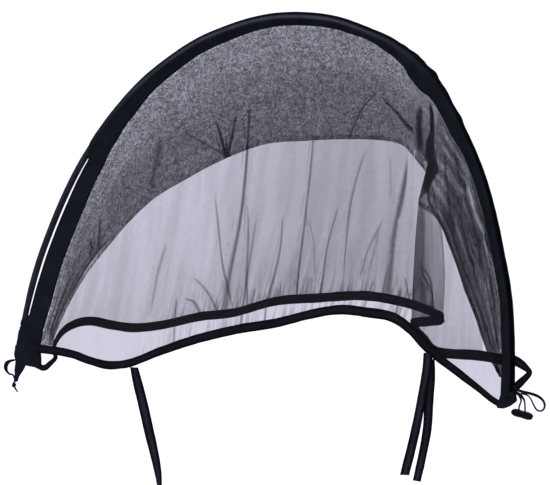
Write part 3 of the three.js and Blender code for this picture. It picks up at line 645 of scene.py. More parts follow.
# painted highlight on the sleeve: its strength along the hoop, then its angle and spread round the
# rod
HIGHLIGHT_ALONG = [[0.2, 0], [0.3, 0.45], [0.42, 0.8], [0.55, 0.8], [0.63, 0.25], [0.7, 0]]
HIGHLIGHT_TURN, HIGHLIGHT_SPREAD = math.radians(112), math.radians(17)


def inward_steps(x, y):
    """Directions into the casing across its cloth, and the step from point to point."""
    way_x, way_y = np.gradient(x, axis=1), np.gradient(y, axis=1)
    step = np.hypot(way_x, way_y)
    return -way_y / step, way_x / step, step


def place_casing(start, across, thick, x, y):
    return start[:, None] + x[..., None] * across[:, None] - y[..., None] * thick[:, None]


def both_faces(outer, inner):
    return np.concatenate([outer, inner[:, ::-1]], axis=1)


stations = np.unique(np.concatenate([np.linspace(0.002, 0.998, 330), np.linspace(0.62, 0.74, 110)]))
start, across, thick, x, y = casing_grid(stations, 34)
in_x, in_y, step = inward_steps(x, y)
turn = np.arctan2(y, x)
run = stations[:, None] * RIPPLE_RUN
bunch = np.exp(-((stations - BUNCH) / BUNCH_HALF) ** 4)[:, None]
ripple = RIPPLE * waves(run + 4 * turn, 3, 5, 14, 60)
ripple = ripple + bunch * BUNCH_RIPPLE * waves(run + 9 * np.sin(turn), 8, 5, 9, 30)
for t, high, half in KINKS:
    kink = high * bump_at(stations, t, half)[:, None]
    ripple = ripple + kink * ease(-np.cos(turn) + 0.3)
x, y = x - in_x * ripple, y - in_y * ripple
casing_rings = both_faces(*(place_casing(start, across, thick, x + in_x * shift, y + in_y * shift)
                            for shift in (-CASING_THICKNESS / 2, CASING_THICKNESS / 2)))

wrap = eased_rows(CASING, stations)[:, 2, None]
from_seam = np.cumsum(step, axis=1) - step[:, :1]
to_edge = (np.cumsum(step[:, ::-1], axis=1) - step[:, -1:])[:, ::-1]
# painted shade, by place on the cloth: darker by the seam, at the open far edge and where the
# sleeve turns away from the light
seam_shade = 1 - ease((from_seam - SHADE_START) / SEAM_SHADE_WIDTH)
open_edge_shade = (1 - ease((to_edge - SHADE_START) / EDGE_SHADE_WIDTH)) * (1 - np.clip(wrap / OPEN_WRAP, 0, 1))
turned_shade = ease((-np.cos(turn) - 0.6) / 0.3) * np.clip(wrap / FULL_WRAP, 0, 1)
edge_shade = np.maximum(np.maximum(turned_shade, seam_shade), open_edge_shade)
# painted highlight along the top of the sleeve over the rod
sleeve_highlight = eased_rows(HIGHLIGHT_ALONG, stations) * bump_at(turn, HIGHLIGHT_TURN, HIGHLIGHT_SPREAD)
casing = closed_sweep("casing_strip", casing_rings, casing_cloth,
                      {"edge_shade": both_faces(edge_shade, edge_shade), "sleeve_highlight": both_faces(sleeve_highlight, sleeve_highlight)})
print("casing:", casing_rings.shape[0], "stations")

# %% [markdown]
# ## Where the curtains hang
#
# A curtain is a surface with two numbers: q runs along it from section to section, and v runs down
# it. Its upper edge follows the casing's seam. Its lower edges are tables of points, read off how
# the cloth hangs: the near hem of the front net, the seam between crown and back net, and the far
# hem, which doubles back on itself at the right in one flat pleat. The crown begins two rows
# earlier than the back net, in a tail beside the left foot, so its section numbers are shifted.

# %% Curtain tables
CURTAIN_SEAT, CURTAIN_OFFSET = 0.8, 0.9
BINDING_WIDTH, BINDING_THICKNESS = 10.5, 2.2
FRONT_BOW, CROWN_BOW, BACK_BOW = np.array([[0, -12, 0], [0, 8.4, 11.2], [0, 8, 0]])
LONG_FRONT, LONG_BACK = 300, 150  # a section of this length has its full bow
FRONT_HEM_DROP, BACK_HEM_DROP = 20, 25

FRONT = [  # t on the hoop, then the middle of the near hem
    [0.02, -275, -3, 9], [0.035, -262, -4, 9], [0.08, -244, -6, 9], [0.13, -222, -7, 7],
    [0.18, -198, -9, 2], [0.235, -172, -10, -1], [0.295, -142, -11, 5], [0.36, -104, -13, 22],
    [0.43, -56, -14, 41], [0.5, -4, -14, 57], [0.56, 43, -14, 68], [0.62, 86, -13, 81.5],
    [0.67, 120, -12, 89], [0.715, 152, -11, 88], [0.75, 178, -9, 85], [0.785, 198, -8, 74],
    [0.82, 214, -7, 58], [0.86, 233, -6, 42.5], [0.9, 254, -5, 28], [0.94, 275, -3, 13],
    [0.966, 290, -1, 1.5], [0.99, 299.4, -0.5, -3.6],
]
BACK = [  # t on the hoop, the crown's seam, then the middle of the far hem
    [0.035, -263.5, 22, 26, -261, 13, 8.5], [0.065, -263, 58, 58.5, -266, 42, 20],
    [0.11, -254.5, 90, 91, -263, 71, 26], [0.16, -240.5, 122, 122, -247, 85, 28],
    [0.21, -222, 143, 151, -226, 99, 22], [0.26, -194, 162, 181, -200, 111, 18],
    [0.31, -158, 181, 205, -166, 124, 22], [0.37, -116, 198, 229, -121, 137, 33.5],
    [0.435, -62, 210, 250, -76, 144, 41], [0.5, -8, 215, 256, -22, 149, 58.5],
    [0.56, 46, 213, 260, 36, 149, 67], [0.615, 94, 205, 261, 92, 143, 75],
    [0.66, 126, 196, 256, 136, 134, 74.5], [0.695, 148, 187, 237, 172, 123, 70.5],
    [0.71, 165, 176, 222, 200, 113, 64], [0.715, 169, 169, 214, 205, 106, 62],
    [0.72, 167, 161, 206, 199, 100, 61], [0.73, 161.2, 150, 197, 178, 91, 59],
    [0.735, 163.2, 143, 192, 173, 84, 58], [0.74, 172, 136, 188, 178, 76, 56],
    [0.755, 186, 127, 183, 203, 42, 50.5], [0.78, 202, 112, 168, 221, 20, 44],
    [0.81, 222, 92, 137, 239, 19, 42.5], [0.845, 240, 73, 106, 253, 24, 42],
    [0.88, 258, 53, 80, 264, 27, 41.5], [0.91, 269, 37, 64, 272, 28, 41],
]
TAIL = 2  # rows of the crown before the back net's first section
CROWN = np.array([[0.008, -262, 14.5, 9.5], [0.02, -263, 18, 17]] + [row[:4] for row in BACK]
                 + [[0.94, 279, 36, 40], [0.968, 288.5, 31, 28], [0.984, 294, 27, 19]], float)
BACK_HEM = np.array([row[4:] + row[1:4] for row in BACK]
                    + [[283, 27, 40.5, 279, 36, 60], [291, 25, 40, 288.5, 31, 60],
                       [298, 23, 39.5, 296, 27, 60]], float)
PLEAT_EDGES = [(14.8, 1.9, 5.5), (17.6, 1.5, -4)]  # section, half width, swell sideways
LAST_FRONT, LAST_BACK, LAST_CROWN = len(FRONT) - 1, len(BACK) - 1, len(CROWN) - 1 - TAIL

# %% [markdown]
# Each section hangs from its top edge to its lower one, and sags or bows in between. A short
# section has little cloth to spare, so it bows less.

# %% Curtain surfaces
def top_edge(t, side):
    start, across, thick, seam, _, _ = casing_frame(np.clip(t, 0.004, 0.996))
    return start + across * (seam + CURTAIN_SEAT)[..., None] + thick * (side * CURTAIN_OFFSET)


def slack(top, end, full):
    """The share of its bow that a section has, by its length."""
    return np.minimum(1, np.linalg.norm(top - end, axis=-1) / full)[:, None]


def hung(top, end, bulge, v):
    v = v[:, None, None]
    return top * (1 - v) + end * v + bulge * (4 * v * (1 - v))


def front_lines(q):
    """Top edge, the hem's middle and its upward direction at each section."""
    rows = smooth_rows(FRONT, q)
    top, hem = top_edge(rows[:, 0], -1), rows[:, 1:]
    return top, hem, unit(top - hem + [0, 0, FRONT_HEM_DROP])


def front_grid(q, v):
    top, hem, up = front_lines(q)
    end = hem + up * BINDING_WIDTH / 2
    return hung(top, end, FRONT_BOW * slack(top, end, LONG_FRONT), v)


def crown_grid(q, v):
    rows = smooth_rows(CROWN, q + TAIL)
    top, seam = top_edge(rows[:, 0], 1), rows[:, 1:]
    return hung(top, seam, CROWN_BOW * slack(top, seam, LONG_BACK), v)


def back_hem_lines(q):
    rows = smooth_rows(BACK_HEM, q)
    hem, seam = rows[:, :3], rows[:, 3:]
    return hem, unit(seam - hem + [0, 0, BACK_HEM_DROP])


def back_grid(q, v):
    seam = smooth_rows(CROWN, q + TAIL)[:, 1:]
    hem, up = back_hem_lines(q)
    end = hem + up * BINDING_WIDTH / 2
    swell = sum(side * (1 - ease(np.abs(q - at) / half)) for at, half, side in PLEAT_EDGES)
    return hung(seam, end, BACK_BOW * slack(seam, end, LONG_BACK) + swell[:, None] * [1, 0, 0], v)


print("sections:", len(FRONT), "in front,", len(CROWN), "at the back")

# %% [markdown]
# ## Creases
#
# Thin net shows its folds as dark lines, because light then passes through three layers instead of
# one. Each crease is written as a short path of sections and heights on its curtain, with its half
# width, how much darker it is, and how far it stands out. For every point of the cloth the nearest
# crease's distance is kept as an attribute, so a coarse mesh can still show a sharp line.

# %% Crease maker
TRACK_POINTS = 60
REACH = 5  # half widths
FADE_POINTS = 12  # over which a crease begins and ends, unless it starts at the cloth's edge
EDGE = 0.02
FAR_OFF, LAST_OFF = 4.0, 3.4


def surface_normals(grid):
    return unit(np.cross(np.gradient(grid, axis=1), np.gradient(grid, axis=0)))


def lay_creases(grid, at, creases):
    """Distance to the nearest crease in half widths, its darkness, and all creases' height."""
    points, normals = grid.reshape(-1, 3), surface_normals(grid).reshape(-1, 3)
    off = np.full(len(points), FAR_OFF)
    dark, height = np.zeros(len(points)), np.zeros(len(points))
    for path, wide, depth, high in creases:
        wide, depth = (np.linspace(*(x if isinstance(x, tuple) else (x, x)), TRACK_POINTS)
                       for x in (wide, depth))
        track = smooth_rows(path, np.linspace(0, len(path) - 1, TRACK_POINTS))
        line = np.array([at(np.array([q]), np.array([v]))[0, 0] for q, v in track])
        way = unit(np.gradient(line, axis=0))
        reach = REACH * wide.max()
        near = np.all((points > line.min(0) - reach) & (points < line.max(0) + reach), axis=1)
        chosen = np.flatnonzero(near)
        step = points[chosen, None] - line[None]
        k = np.argmin((step ** 2).sum(-1), axis=1)
        step = step[np.arange(len(k)), k]
        within = np.abs((step * way[k]).sum(-1)) < reach
        apart = (step * unit(np.cross(way[k], normals[chosen]))).sum(-1) / wide[k]
        first, last = (end < EDGE or end > 1 - EDGE for end in (path[0][1], path[-1][1]))
        early = k < TRACK_POINTS // 2
        from_end = np.minimum(k, TRACK_POINTS - 1 - k)
        fade = np.where(early & first | ~early & last, 1, ease(from_end / FADE_POINTS)) * within
        height[chosen] += high * fade * np.exp(-apart ** 2)
        closer = (np.abs(apart) < np.abs(off[chosen])) & (fade > 0)
        off[chosen] = np.where(closer, apart, off[chosen])
        dark[chosen] = np.where(closer, depth[k] * fade, dark[chosen])
    dark[np.abs(off) > LAST_OFF] = 0
    return off, dark, height


def soft_folds(q, v, folds):
    """Broad folds that follow one section: its number, half width in sections, and height."""
    total = np.zeros((len(v), len(q)))
    for at, half, high in folds:
        total += high * (1 - ease(np.abs(q - at) / half))[None] * np.sin(np.pi * v)[:, None] ** 0.7
    return total

# %% [markdown]
# The crease tables follow the cloth from the left foot to the right one. Where half width or
# darkness is a pair, it changes from the crease's first end to its last.

# %% Crease tables
FRONT_CREASES = [  # path of [section, height], half width, darkness, how far it stands out
    ([[7.9, 0.5], [8.3, 0.74], [8.85, 0.96]], 1.3, (0.9, 2.6), 2),
    ([[7.35, 0.84], [7.4, 1]], 1.1, 2, 1),
    ([[9.03, 0.62], [9.04, 0.8], [9.06, 1]], 1.3, (0.6, 2.2), 1.2),
    ([[9.6, 0.9], [9.7, 1]], 1, 1.6, 0.8),
    ([[12.9, 0.86], [12.8, 1]], 1, 1.6, 0.8),
    ([[14.1, 0.86], [14.2, 1]], 1.2, 2.2, 1),
    ([[14.4, 0.84], [14.35, 1]], 1, 1.6, 0.8),
    ([[0.6, 0.15], [0.4, 0.5], [0.55, 0.9]], 1.3, 1.8, 0.8),
    ([[1, 0.1], [0.8, 0.5], [0.7, 0.85]], 1.2, 1.4, 0.8),
]
BACK_CREASES = [
    ([[7.6, 0], [7.64, 0.45], [7.62, 0.75], [7.7, 1]], (1.6, 4), (8.5, 4.5), 3.5),
    ([[7.75, 0.32], [7.95, 0.58], [8.1, 0.8], [8.3, 1]], (1.2, 1.8), (3.2, 5.5), 1.2),
    ([[8.7, 0.45], [8.82, 0.7], [8.8, 1]], (1.1, 1.6), (3, 6.5), 1.6),
    ([[9.18, 0], [9.24, 0.45], [9.34, 0.8], [9.46, 1]], 1.3, (4, 7.5), 2.4),
    ([[9.27, 0.48], [9.6, 0.68], [9.8, 0.92]], 1.1, (1.5, 3), 0.8),
    ([[10.05, 0.42], [9.94, 0.7], [10, 1]], 1.3, (3, 6.5), 1.6),
    ([[10.64, 0.04], [10.4, 0.25], [10.3, 0.45], [10.36, 0.7], [10.5, 0.95]], (2.2, 1.3),
     (3, 5), 2),
    ([[11.4, 0.1], [11.55, 0.42]], 1.6, 1.5, 0.8),
    ([[12.2, 0.04], [11.95, 0.35], [11.76, 0.65], [11.78, 1]], (1.6, 4.2), (8, 6), 2.6),
    ([[11.9, 0.5], [11.68, 0.8], [11.6, 1]], 1.6, (1.5, 4), 1.6),
    ([[11.4, 0.5], [11, 0.72], [10.88, 0.94]], 1.2, (3, 4.5), 1.2),
    ([[11.27, 0.58], [11.07, 0.9]], 1.2, (2, 3.5), 0.8),
    ([[5.6, 0.42], [5.46, 0.65], [5.5, 0.98]], (2, 1.5), (3, 2.4), 2),
    ([[6.45, 0.88], [6.75, 0.92], [7, 1]], (1.2, 2), (3.5, 6), 1.4),
    ([[6.55, 0.74], [7, 0.85], [7.5, 1]], 1.3, (2.5, 5.5), 1.4),
    ([[8.4, 0.9], [8.42, 1]], 1.3, 5, 0.8),
    ([[9, 0.9], [9.1, 1]], 1, 3, 0.6),
    ([[9.65, 0.88], [9.66, 1]], 1, 4, 0.6),
    ([[12.3, 0.86], [12.55, 1]], 1.1, 5, 0.8),
    ([[12.9, 0.9], [12.5, 1]], 1.1, 4.5, 0.8),
    ([[14.95, 0.2], [15, 0.6], [15, 0.97]], 0.9, 3.5, 0.4),
    ([[18.3, 0.49], [19.3, 0.53], [19.9, 0.58], [20.2, 0.69], [20.35, 0.8]], 1.2, 7, 0.5),
    ([[18.6, 0.58], [19.2, 0.64], [19.6, 0.72], [19.8, 0.82]], 1.1, 4.5, 0.5),
    ([[16.9, 0.72], [16.5, 0.8], [16.4, 0.95]], 1.1, 4, 0.5),
]
CROWN_CREASES = [
    ([[6, 0.6], [6.5, 0.8], [7.08, 1]], 1.1, 1, 1.5),
    ([[6.9, 0.68], [7.1, 1]], (1.2, 1.8), (1, 2.6), 3),
    ([[7.42, 0.7], [7.15, 1]], (1.8, 1.3), (0.8, 2.2), 3),
    ([[7.7, 0.7], [7.6, 1]], 1.4, (0.8, 1.6), 2),
    ([[5.45, 0.5], [5.2, 0.7], [4.8, 0.95]], (2.5, 3.5), 0.6, 3),
    ([[3, 0.5], [2.5, 0.98]], 2.5, 0.8, 2),
    ([[1.6, 0.55], [0.6, 0.6], [-0.6, 0.62], [-1.6, 0.6]], 1.2, 0.9, 0.6),
    ([[1.9, 0.8], [0.8, 0.86], [-0.4, 0.86], [-1.5, 0.8]], 1.2, 0.9, 0.6),
    ([[1.2, 0.25], [0.2, 0.3], [-1, 0.3]], 1.4, 0.7, 0.6),
    ([[1.1, 0.97], [1.6, 0.92], [2.4, 0.915], [3.2, 0.96]], 1, 2.2, 0.4),
    ([[2.45, 0.55], [2.4, 0.7], [2.2, 0.87]], 1.2, 1.6, 1),
    ([[10.85, 0.6], [10.4, 0.8], [10.1, 1]], 1.1, 1, 1.5),
    ([[10.9, 0.62], [11.5, 0.72], [12, 0.79], [12.5, 0.82]], (1.2, 3), (1.2, 2.2), 2.5),
    ([[13, 0.28], [12.93, 0.42], [12.86, 0.55], [12.9, 0.68], [13, 0.8], [13.1, 0.92]],
     (4.2, 5.6), (1.8, 2.6), 1.5),
    ([[12.3, 0], [12.36, 0.06], [12.4, 0.12]], 1, 3, 0.5),
    ([[20, 0.05], [20.65, 0.22], [20.9, 0.3], [21.3, 0.37], [21.7, 0.4], [22.3, 0.41],
      [22.8, 0.43], [23.15, 0.5], [23.6, 0.53], [24.3, 0.6]], (2.4, 3.6), (0.9, 1.2), 1.2),
    ([[21.2, 0.62], [22, 0.68], [22.8, 0.72], [23.6, 0.8]], (1.6, 2.2), (0.5, 0.9), 1),
    ([[19.75, 0.3], [20.15, 0.5], [20.6, 0.65], [21.1, 0.8], [21.7, 0.9]], 2.1, 0.9, 1),
    ([[20.8, 0.1], [21.3, 0.22], [21.9, 0.24], [22.3, 0.28], [22.85, 0.27], [23.3, 0.25],
      [24.1, 0.1], [24.7, 0.1]], (1.3, 1.7), (-0.7, -0.45), 0.8),
    ([[21.2, 0.03], [21.9, 0.09], [22.5, 0.1], [23.1, 0.12], [23.6, 0.1], [24, 0.04]],
     2.4, 1.1, 0.8),
    ([[23.9, 0.25], [24.6, 0.35], [25.6, 0.45], [26.6, 0.55]], 1.8, 0.8, 0.8),
    ([[18.95, 0.8], [19.15, 0.9], [19.6, 0.96], [20.2, 0.975]], 1.3, 1.6, 0.4),
    ([[19.6, 0.985], [22, 0.985], [24, 0.98], [26.6, 0.97]], 1.1, 1, 0.4),
    ([[19.7, 0.92], [21, 0.92], [22.5, 0.91], [24, 0.88], [25.5, 0.84], [26.6, 0.78]],
     1.2, 0.9, 0.5),
    ([[26.6, 0.96], [27.3, 0.96], [28, 0.96]], 1.3, 2.5, 0.3),
]
FRONT_FOLDS = [[5.4, 0.3, 4], [8.2, 0.26, 4], [10.5, 0.28, 4], [12.6, 0.3, 5]]
CROWN_FOLDS = [[4.6, 0.22, 4], [7.2, 0.25, 4], [10.8, 0.3, 4], [12.4, 0.3, 4], [21.4, 0.3, 5],
               [23, 0.3, 4]]
NET_FOLDS = [[4.2, 0.3, 3], [7.5, 0.22, 5], [9.3, 0.24, 4], [10.3, 0.22, 4], [12.1, 0.28, 5]]
print("creases:", len(FRONT_CREASES), len(BACK_CREASES), len(CROWN_CREASES))

# %% [markdown]
# ## Net finishes
#
# One recipe makes all three nets. A single layer lets part of the light through. Where cloth is
# doubled, gathered or creased, the light passes that fraction again for each extra layer, so the
# opening is the single layer's share raised to the number of layers. The tiny cells, the gathers at
# the hem and a mottling, which is what two layers of mesh make together, all change that number. At
# the crown's two ends the cloth is drawn in towards the feet, which adds streaks along its length.

# %% Net material
NET_THREAD = (0.006, 0.006, 0.009)
NET_PITCH = 0.0011
MOTTLE, BANDS, GATHERS, TINTS = (260, 260), (55, 5), (105, 9), (60, 60)  # repeats per metre
DRAWN_ALONG, DRAWN_DOWN = 9, 11
CALM = 0.85  # the mottling left where the cloth is drawn in
FEWEST_LAYERS = 0.05


def net_material(name, clear, mesh_depth, mottle_depth, band_depth, gather_depth, drawn_depth=0.0):
    """Sheer net; clear is the share of light that one layer lets through."""
    material, tree, shader = new_material(name)
    flat = cloth_map(tree)
    off = attribute(tree, "crease_off")
    line = math_node(tree, "EXPONENT", times(tree, times(tree, off, off), -1.0))
    cells = mask(tree, net_mesh, flat, NET_PITCH)
    mottle = noise(tree, scaled(tree, flat, *MOTTLE), 1.0, 2.0, 0.5, 1.5)
    mottle = map_node(tree, mottle, 0.32, 0.66, mottle_depth, -mottle_depth)
    bands = noise(tree, scaled(tree, flat, *BANDS), 1.0, 2.0, 0.5, 0.3)
    gathers = mask(tree, streaks, scaled(tree, flat, *GATHERS), 0.07)
    gathers = times(tree, gathers, attribute(tree, "gather"))
    drawn = None
    if drawn_depth:
        pull = attribute(tree, "drawn")
        mottle = times(tree, mottle, map_node(tree, pull, 0.1, 1.0, 1.0, CALM))
        along = add_node(tree, "ShaderNodeSeparateXYZ", {0: flat}).outputs[0]
        lengthways = add_node(tree, "ShaderNodeCombineXYZ", {
            0: times(tree, along, DRAWN_ALONG),
            1: times(tree, attribute(tree, "share"), DRAWN_DOWN)})
        drawn = noise(tree, lengthways.outputs[0], 1.0, 1.6, 0.45, 0.2)
        drawn = times(tree, map_node(tree, drawn, 0.3, 0.7, -drawn_depth, drawn_depth), pull)
    line = times(tree, line, attribute(tree, "crease_dark"))
    layers = plus(tree, line, attribute(tree, "fullness"))
    for part in (times(tree, minus(tree, cells, 0.5), mesh_depth), mottle,
                 map_node(tree, bands, 0.3, 0.7, -band_depth, band_depth),
                 times(tree, gathers, gather_depth), drawn):
        if part:
            layers = plus(tree, layers, part)
    layers = math_node(tree, "MAXIMUM", layers, FEWEST_LAYERS)
    fill(tree, shader, {
        "Alpha": minus(tree, 1.0, math_node(tree, "POWER", clear, layers)),
        "Base Color": mixed(tree, noise(tree, scaled(tree, flat, *TINTS)),
                            [0.8 * c for c in NET_THREAD], [1.2 * c for c in NET_THREAD]),
        "Roughness": 0.9, "Specular IOR Level": 0.1})
    return material


front_mesh = net_material("front_mesh", 0.588, 0.5, 0.04, 0.03, 0.9)
crown_mesh = net_material("crown_mesh", 0.262, 0.3, 0.48, 0.06, 0.2, 0.45)
back_mesh = net_material("back_mesh", 0.825, 0.9, 0.3, 0.5, 3.5)
print("net finishes:", front_mesh.name, crown_mesh.name, back_mesh.name)

# %% [markdown]
# ## The three nets
#
# Each net is a grid on its own surface. The broad folds and the creases lift it by a few
# millimetres, and towards its elastic hem it ripples in small gathers. How many layers the cloth
# counts for, its fullness, is a short table along the sections. Two places have a rule of their
# own: the dark wedge of doubled cloth where the crown's pleat begins, and the narrow strip below it
# into which the back net is gathered.

# %% Net maker
TUCK = (2.5, 3.0)  # how far the cloth runs on inside the casing's seam and inside its hem
GATHER_SHARE, GATHER_FADE = 0.16, 26  # how far the gathers rise: as a share of v, and in mm


def net_piece(name, at, q, v, material, folds, creases, fullness, lower, gather, ripple, extra=None,
              drawn=None):
    """One net; fullness, gather and drawn are tables along q, and lower is one down v."""
    grid = at(q, v)
    shape = grid.shape[:2]
    off, dark, height = lay_creases(grid, at, creases)
    gather = eased_rows(gather, q)[:, 0][None]
    along = run_length(at(q, np.array([0.35]))[0])
    pull = np.exp(-(1 - v) / GATHER_SHARE)[:, None] * gather
    small = ripple * pull * waves(along, 21, 6, 7, 22)[None]
    ends = np.sin(np.pi * np.clip(v, 0, 1))[:, None] ** 0.3
    lift = height.reshape(shape) * ends + soft_folds(q, v, folds) + small * ends
    points = grid + surface_normals(grid) * lift[..., None]
    points[0] = points[0] + unit(points[0] - points[2]) * TUCK[0]
    points[-1] = points[-1] + unit(points[-1] - points[-3]) * TUCK[1]
    down = run_length(grid)
    above = down[-1][None] - down
    full = eased_rows(fullness, q)[:, 0][None] + eased_rows(lower, v)[:, 0][:, None]
    if extra:
        full = full + extra(q[None], v[:, None])
    values = {"fullness": full, "crease_off": off, "crease_dark": dark,
              "gather": np.exp(-above / GATHER_FADE) * gather}
    if drawn:
        values["share"] = np.broadcast_to(v[:, None], shape)
        values["drawn"] = np.broadcast_to(eased_rows(drawn, q)[:, 0][None], shape)
    uv = np.stack([np.broadcast_to(along[None], shape), above], -1)
    print(name, shape, "points")
    return open_sheet(name, points, uv, material, values)

# %% [markdown]
# The crown counts extra layers in the wedge and beside it, and fewer in three small places: the
# wedge's foot, the corner left of it, and a rolled edge at the left. All of them fade softly.

# %% Wedge and strip
WEDGE = np.array([  # section, then the heights where the dark wedge begins and ends on it
    [13.4, 0.05, 0.9], [16, 0.22, 0.88], [18, 0.38, 0.86], [19, 0.47, 0.84], [19.25, 0.5, 0.72],
    [19.5, 0.54, 0.64], [19.75, 0.6, 0.6],
])
WEDGE_LEFT = np.array([[0, 13.85], [0.55, 13.85], [0.72, 13.5], [1, 13.45]])  # height, section
WEDGE_LAYERS, WEDGE_FOOT, BESIDE, CORNER, ROLL = 2.6, -0.5, 0.55, -0.6, -0.8
STRIP_LAYERS, LINE_LAYERS = 2.3, 1.4
STRIP_LINES = [(17.6, 0.16), (16.7, 0.12)]  # section, half width


def crown_wedge(q, v):
    """The doubled cloth where the pleat begins: dark from the casing to a point above the seam."""
    begin, end = (np.interp(q, WEDGE[:, 0], WEDGE[:, k]) for k in (1, 2))
    first = np.interp(v, WEDGE_LEFT[:, 0], WEDGE_LEFT[:, 1])
    inside = ease((q - first) / 0.15 + 0.5) * ease((WEDGE[-1, 0] - q) / 0.2)
    dark = WEDGE_LAYERS * ease((v - begin) / 0.1) * ease((end - v) / 0.09 + 0.5)
    beside = BESIDE * ease((q - 16) / 1.5) * ease((21.2 - q) / 0.8) * (1 - ease((v - 0.35) / 0.25))
    corner = CORNER * bump_at(q, 12.6, 0.35) * ease((v - 0.88) / 0.06)
    roll = ROLL * bump_at(q, 2.1, 0.7) * ease((v - 0.92) / 0.03)
    return inside * (dark + WEDGE_FOOT * ease((v - 0.82) / 0.1)) + beside + corner + roll


def pleat_strip(q, v):
    """The net pleat's inner fold, gathered into a narrow strip that is dark at every height."""
    lines = sum(bump_at(q, middle, half) for middle, half in STRIP_LINES)
    return (STRIP_LAYERS + LINE_LAYERS * lines) * ease((q - 16.4) / 0.3) * ease((19.3 - q) / 0.3)


print("wedge from section", WEDGE[0, 0], "to", WEDGE[-1, 0])

# %% [markdown]
# Now the three nets themselves. The grids are finer where the pleat folds.

# %% Front net, crown and back net
front_net = net_piece(
    "front_veil", front_grid, np.linspace(0, LAST_FRONT, 440), np.linspace(0, 0.998, 96),
    front_mesh, FRONT_FOLDS, FRONT_CREASES, [[0, 1.1], [4, 1.0], [20, 1.0]], [[0, 0], [1, 0]],
    [[0, 0.3], [4, 0.0], [6.5, 0.4], [8, 1], [14.5, 1], [16, 0.2], [20, 0.1]], 1.4)
crown = net_piece(
    "crown_veil", crown_grid, stretches((-TAIL, 13, 250), (13, 20.5, 150), (20.5, LAST_CROWN, 110)),
    stretches((0, 0.06, 7), (0.06, 0.9, 52), (0.9, 1, 12)), crown_mesh, CROWN_FOLDS, CROWN_CREASES,
    [[-2, 0.9], [0, 1.05], [1.2, 1.3], [3, 1.12], [5, 1.0], [7.5, 1.0], [9, 1.05], [11, 1.04],
     [12, 0.98], [12.6, 1.1], [13.1, 1.25], [14, 1.15], [19, 1.0], [20.2, 1.0], [21, 1.65],
     [23, 1.6], [28, 1.5]],
    [[0, -0.3], [0.015, -0.3], [0.04, -0.12], [0.2, -0.1], [0.7, 0.28], [1, 0.34]],
    [[0, 0.2], [28, 0.2]], 0.8, crown_wedge,
    [[-2, 1], [0, 0.9], [3, 0.3], [5, 0.12], [18.6, 0.15], [20, 1], [28, 1]])
back_net = net_piece(
    "back_veil", back_grid, stretches((0, 13, 300), (13, 20.5, 160), (20.5, LAST_BACK, 60)),
    np.linspace(0, 0.998, 80), back_mesh, NET_FOLDS, BACK_CREASES,
    [[0, 1.0], [6.6, 1.0], [8.2, 1.9], [9.5, 2.6], [12, 2.6], [13, 1.8], [14, 1.5], [20, 1.25],
     [21, 1.5], [25, 1.5]],
    [[0, -0.2], [0.5, 0.1], [1, 0.5]],
    [[0, 0], [5, 0.2], [6.5, 0.7], [8, 1], [13, 1], [20, 0.6], [21, 0.1], [25, 0.1]], 1.6,
    pleat_strip)
print("three nets")

# %% [markdown]
# ## Hems, ties and loops
#
# The hems are fold-over elastic: a tape 10.5 mm wide, folded round the net's edge, with a rib along
# each side and a shallow groove between. The near one is rolled and thinner towards the right foot.
# The ties are the same tape, sewn flat. A ribbon is a small closed section carried along its line,
# with one direction across it and one through it.

# %% Ribbons
def mirrored(half):
    """A section's front, from the rows of its left half and middle."""
    return half + [[-x, y] for x, y in half[-2::-1]]


FOLD_OVER = mirrored([[-1, 0], [-0.97, 0.6], [-0.86, 1], [-0.62, 1], [-0.4, 0.78], [0, 0.72]])
FLAT_TAPE = mirrored([[-1, 0], [-0.96, 0.7], [-0.85, 1], [-0.5, 0.82], [0, 0.8]])
# HEM_SHADE is painted shade laid over the whole of each hem tape
HEM_RIPPLE, HEM_STRETCH, HEM_SHADE = 0.35, 1.12, 0.6


def ribbon(name, middle, across, normal, width, thickness, section, material, shade=0.0):
    """A tape along its middle line; shade is painted shade over all of it, and painted shade makes
    its edges darkest.
    """
    front = np.array(section)
    ring = np.concatenate([front, front[-2:0:-1] * [1, -1]])
    width = np.broadcast_to(np.asarray(width, float), len(middle))[:, None, None]
    rings = (middle[:, None] + across[:, None] * ring[None, :, :1] * width / 2
             + normal[:, None] * ring[None, :, 1:] * thickness / 2)
    # painted shade: darkest at the tape's edges, with the given shade laid over all of it
    edge_shade = shade + (1 - shade) * ease((np.abs(ring[:, 0]) - 0.2) / 0.5)
    return closed_sweep(name, rings, material, {"edge_shade": np.broadcast_to(edge_shade, rings.shape[:2])})


def hem_ribbon(name, hem, up, pinch):
    """A hem's tape, its rippled middle line and the direction out of it."""
    normal = unit(np.cross(unit(np.gradient(hem, axis=0)), up))
    far = run_length(hem)
    hem = hem + normal * (HEM_RIPPLE * waves(far, 31, 5, 9, 30))[:, None]
    width = BINDING_WIDTH * (HEM_STRETCH + 0.03 * waves(far, 32, 5, 12, 40) - pinch)
    piece = ribbon(name, hem, up, normal, width, BINDING_THICKNESS, FOLD_OVER, tape_cloth,
                   HEM_SHADE)
    return piece, hem, normal


NEAR_PINCH = [[0, 0.1], [6, 0.14], [8, 0.02], [16, 0.02], [18, 0.26], [19.5, 0.42], [21, 0.42]]
front_q = np.linspace(0, LAST_FRONT, 420)
_, front_hem, front_up = front_lines(front_q)
front_binding, front_hem, front_out = hem_ribbon(
    "near_hem", front_hem, front_up, eased_rows(NEAR_PINCH, front_q)[:, 0])
back_q = stretches((0, 13, 240), (13, 20.5, 160), (20.5, LAST_CROWN, 80))
back_hem, back_up = back_hem_lines(back_q)
back_binding, back_hem, back_out = hem_ribbon(
    "far_hem", back_hem, back_up, 0.4 * bump_at(back_q, 15, 0.45))
print("hems:", round(run_length(front_hem)[-1]), "and", round(run_length(back_hem)[-1]), "mm")

# %% [markdown]
# A tie hangs almost straight down and turns slowly about its own line. Its table gives how far
# each row is below, beside and behind the point where it is sewn on.

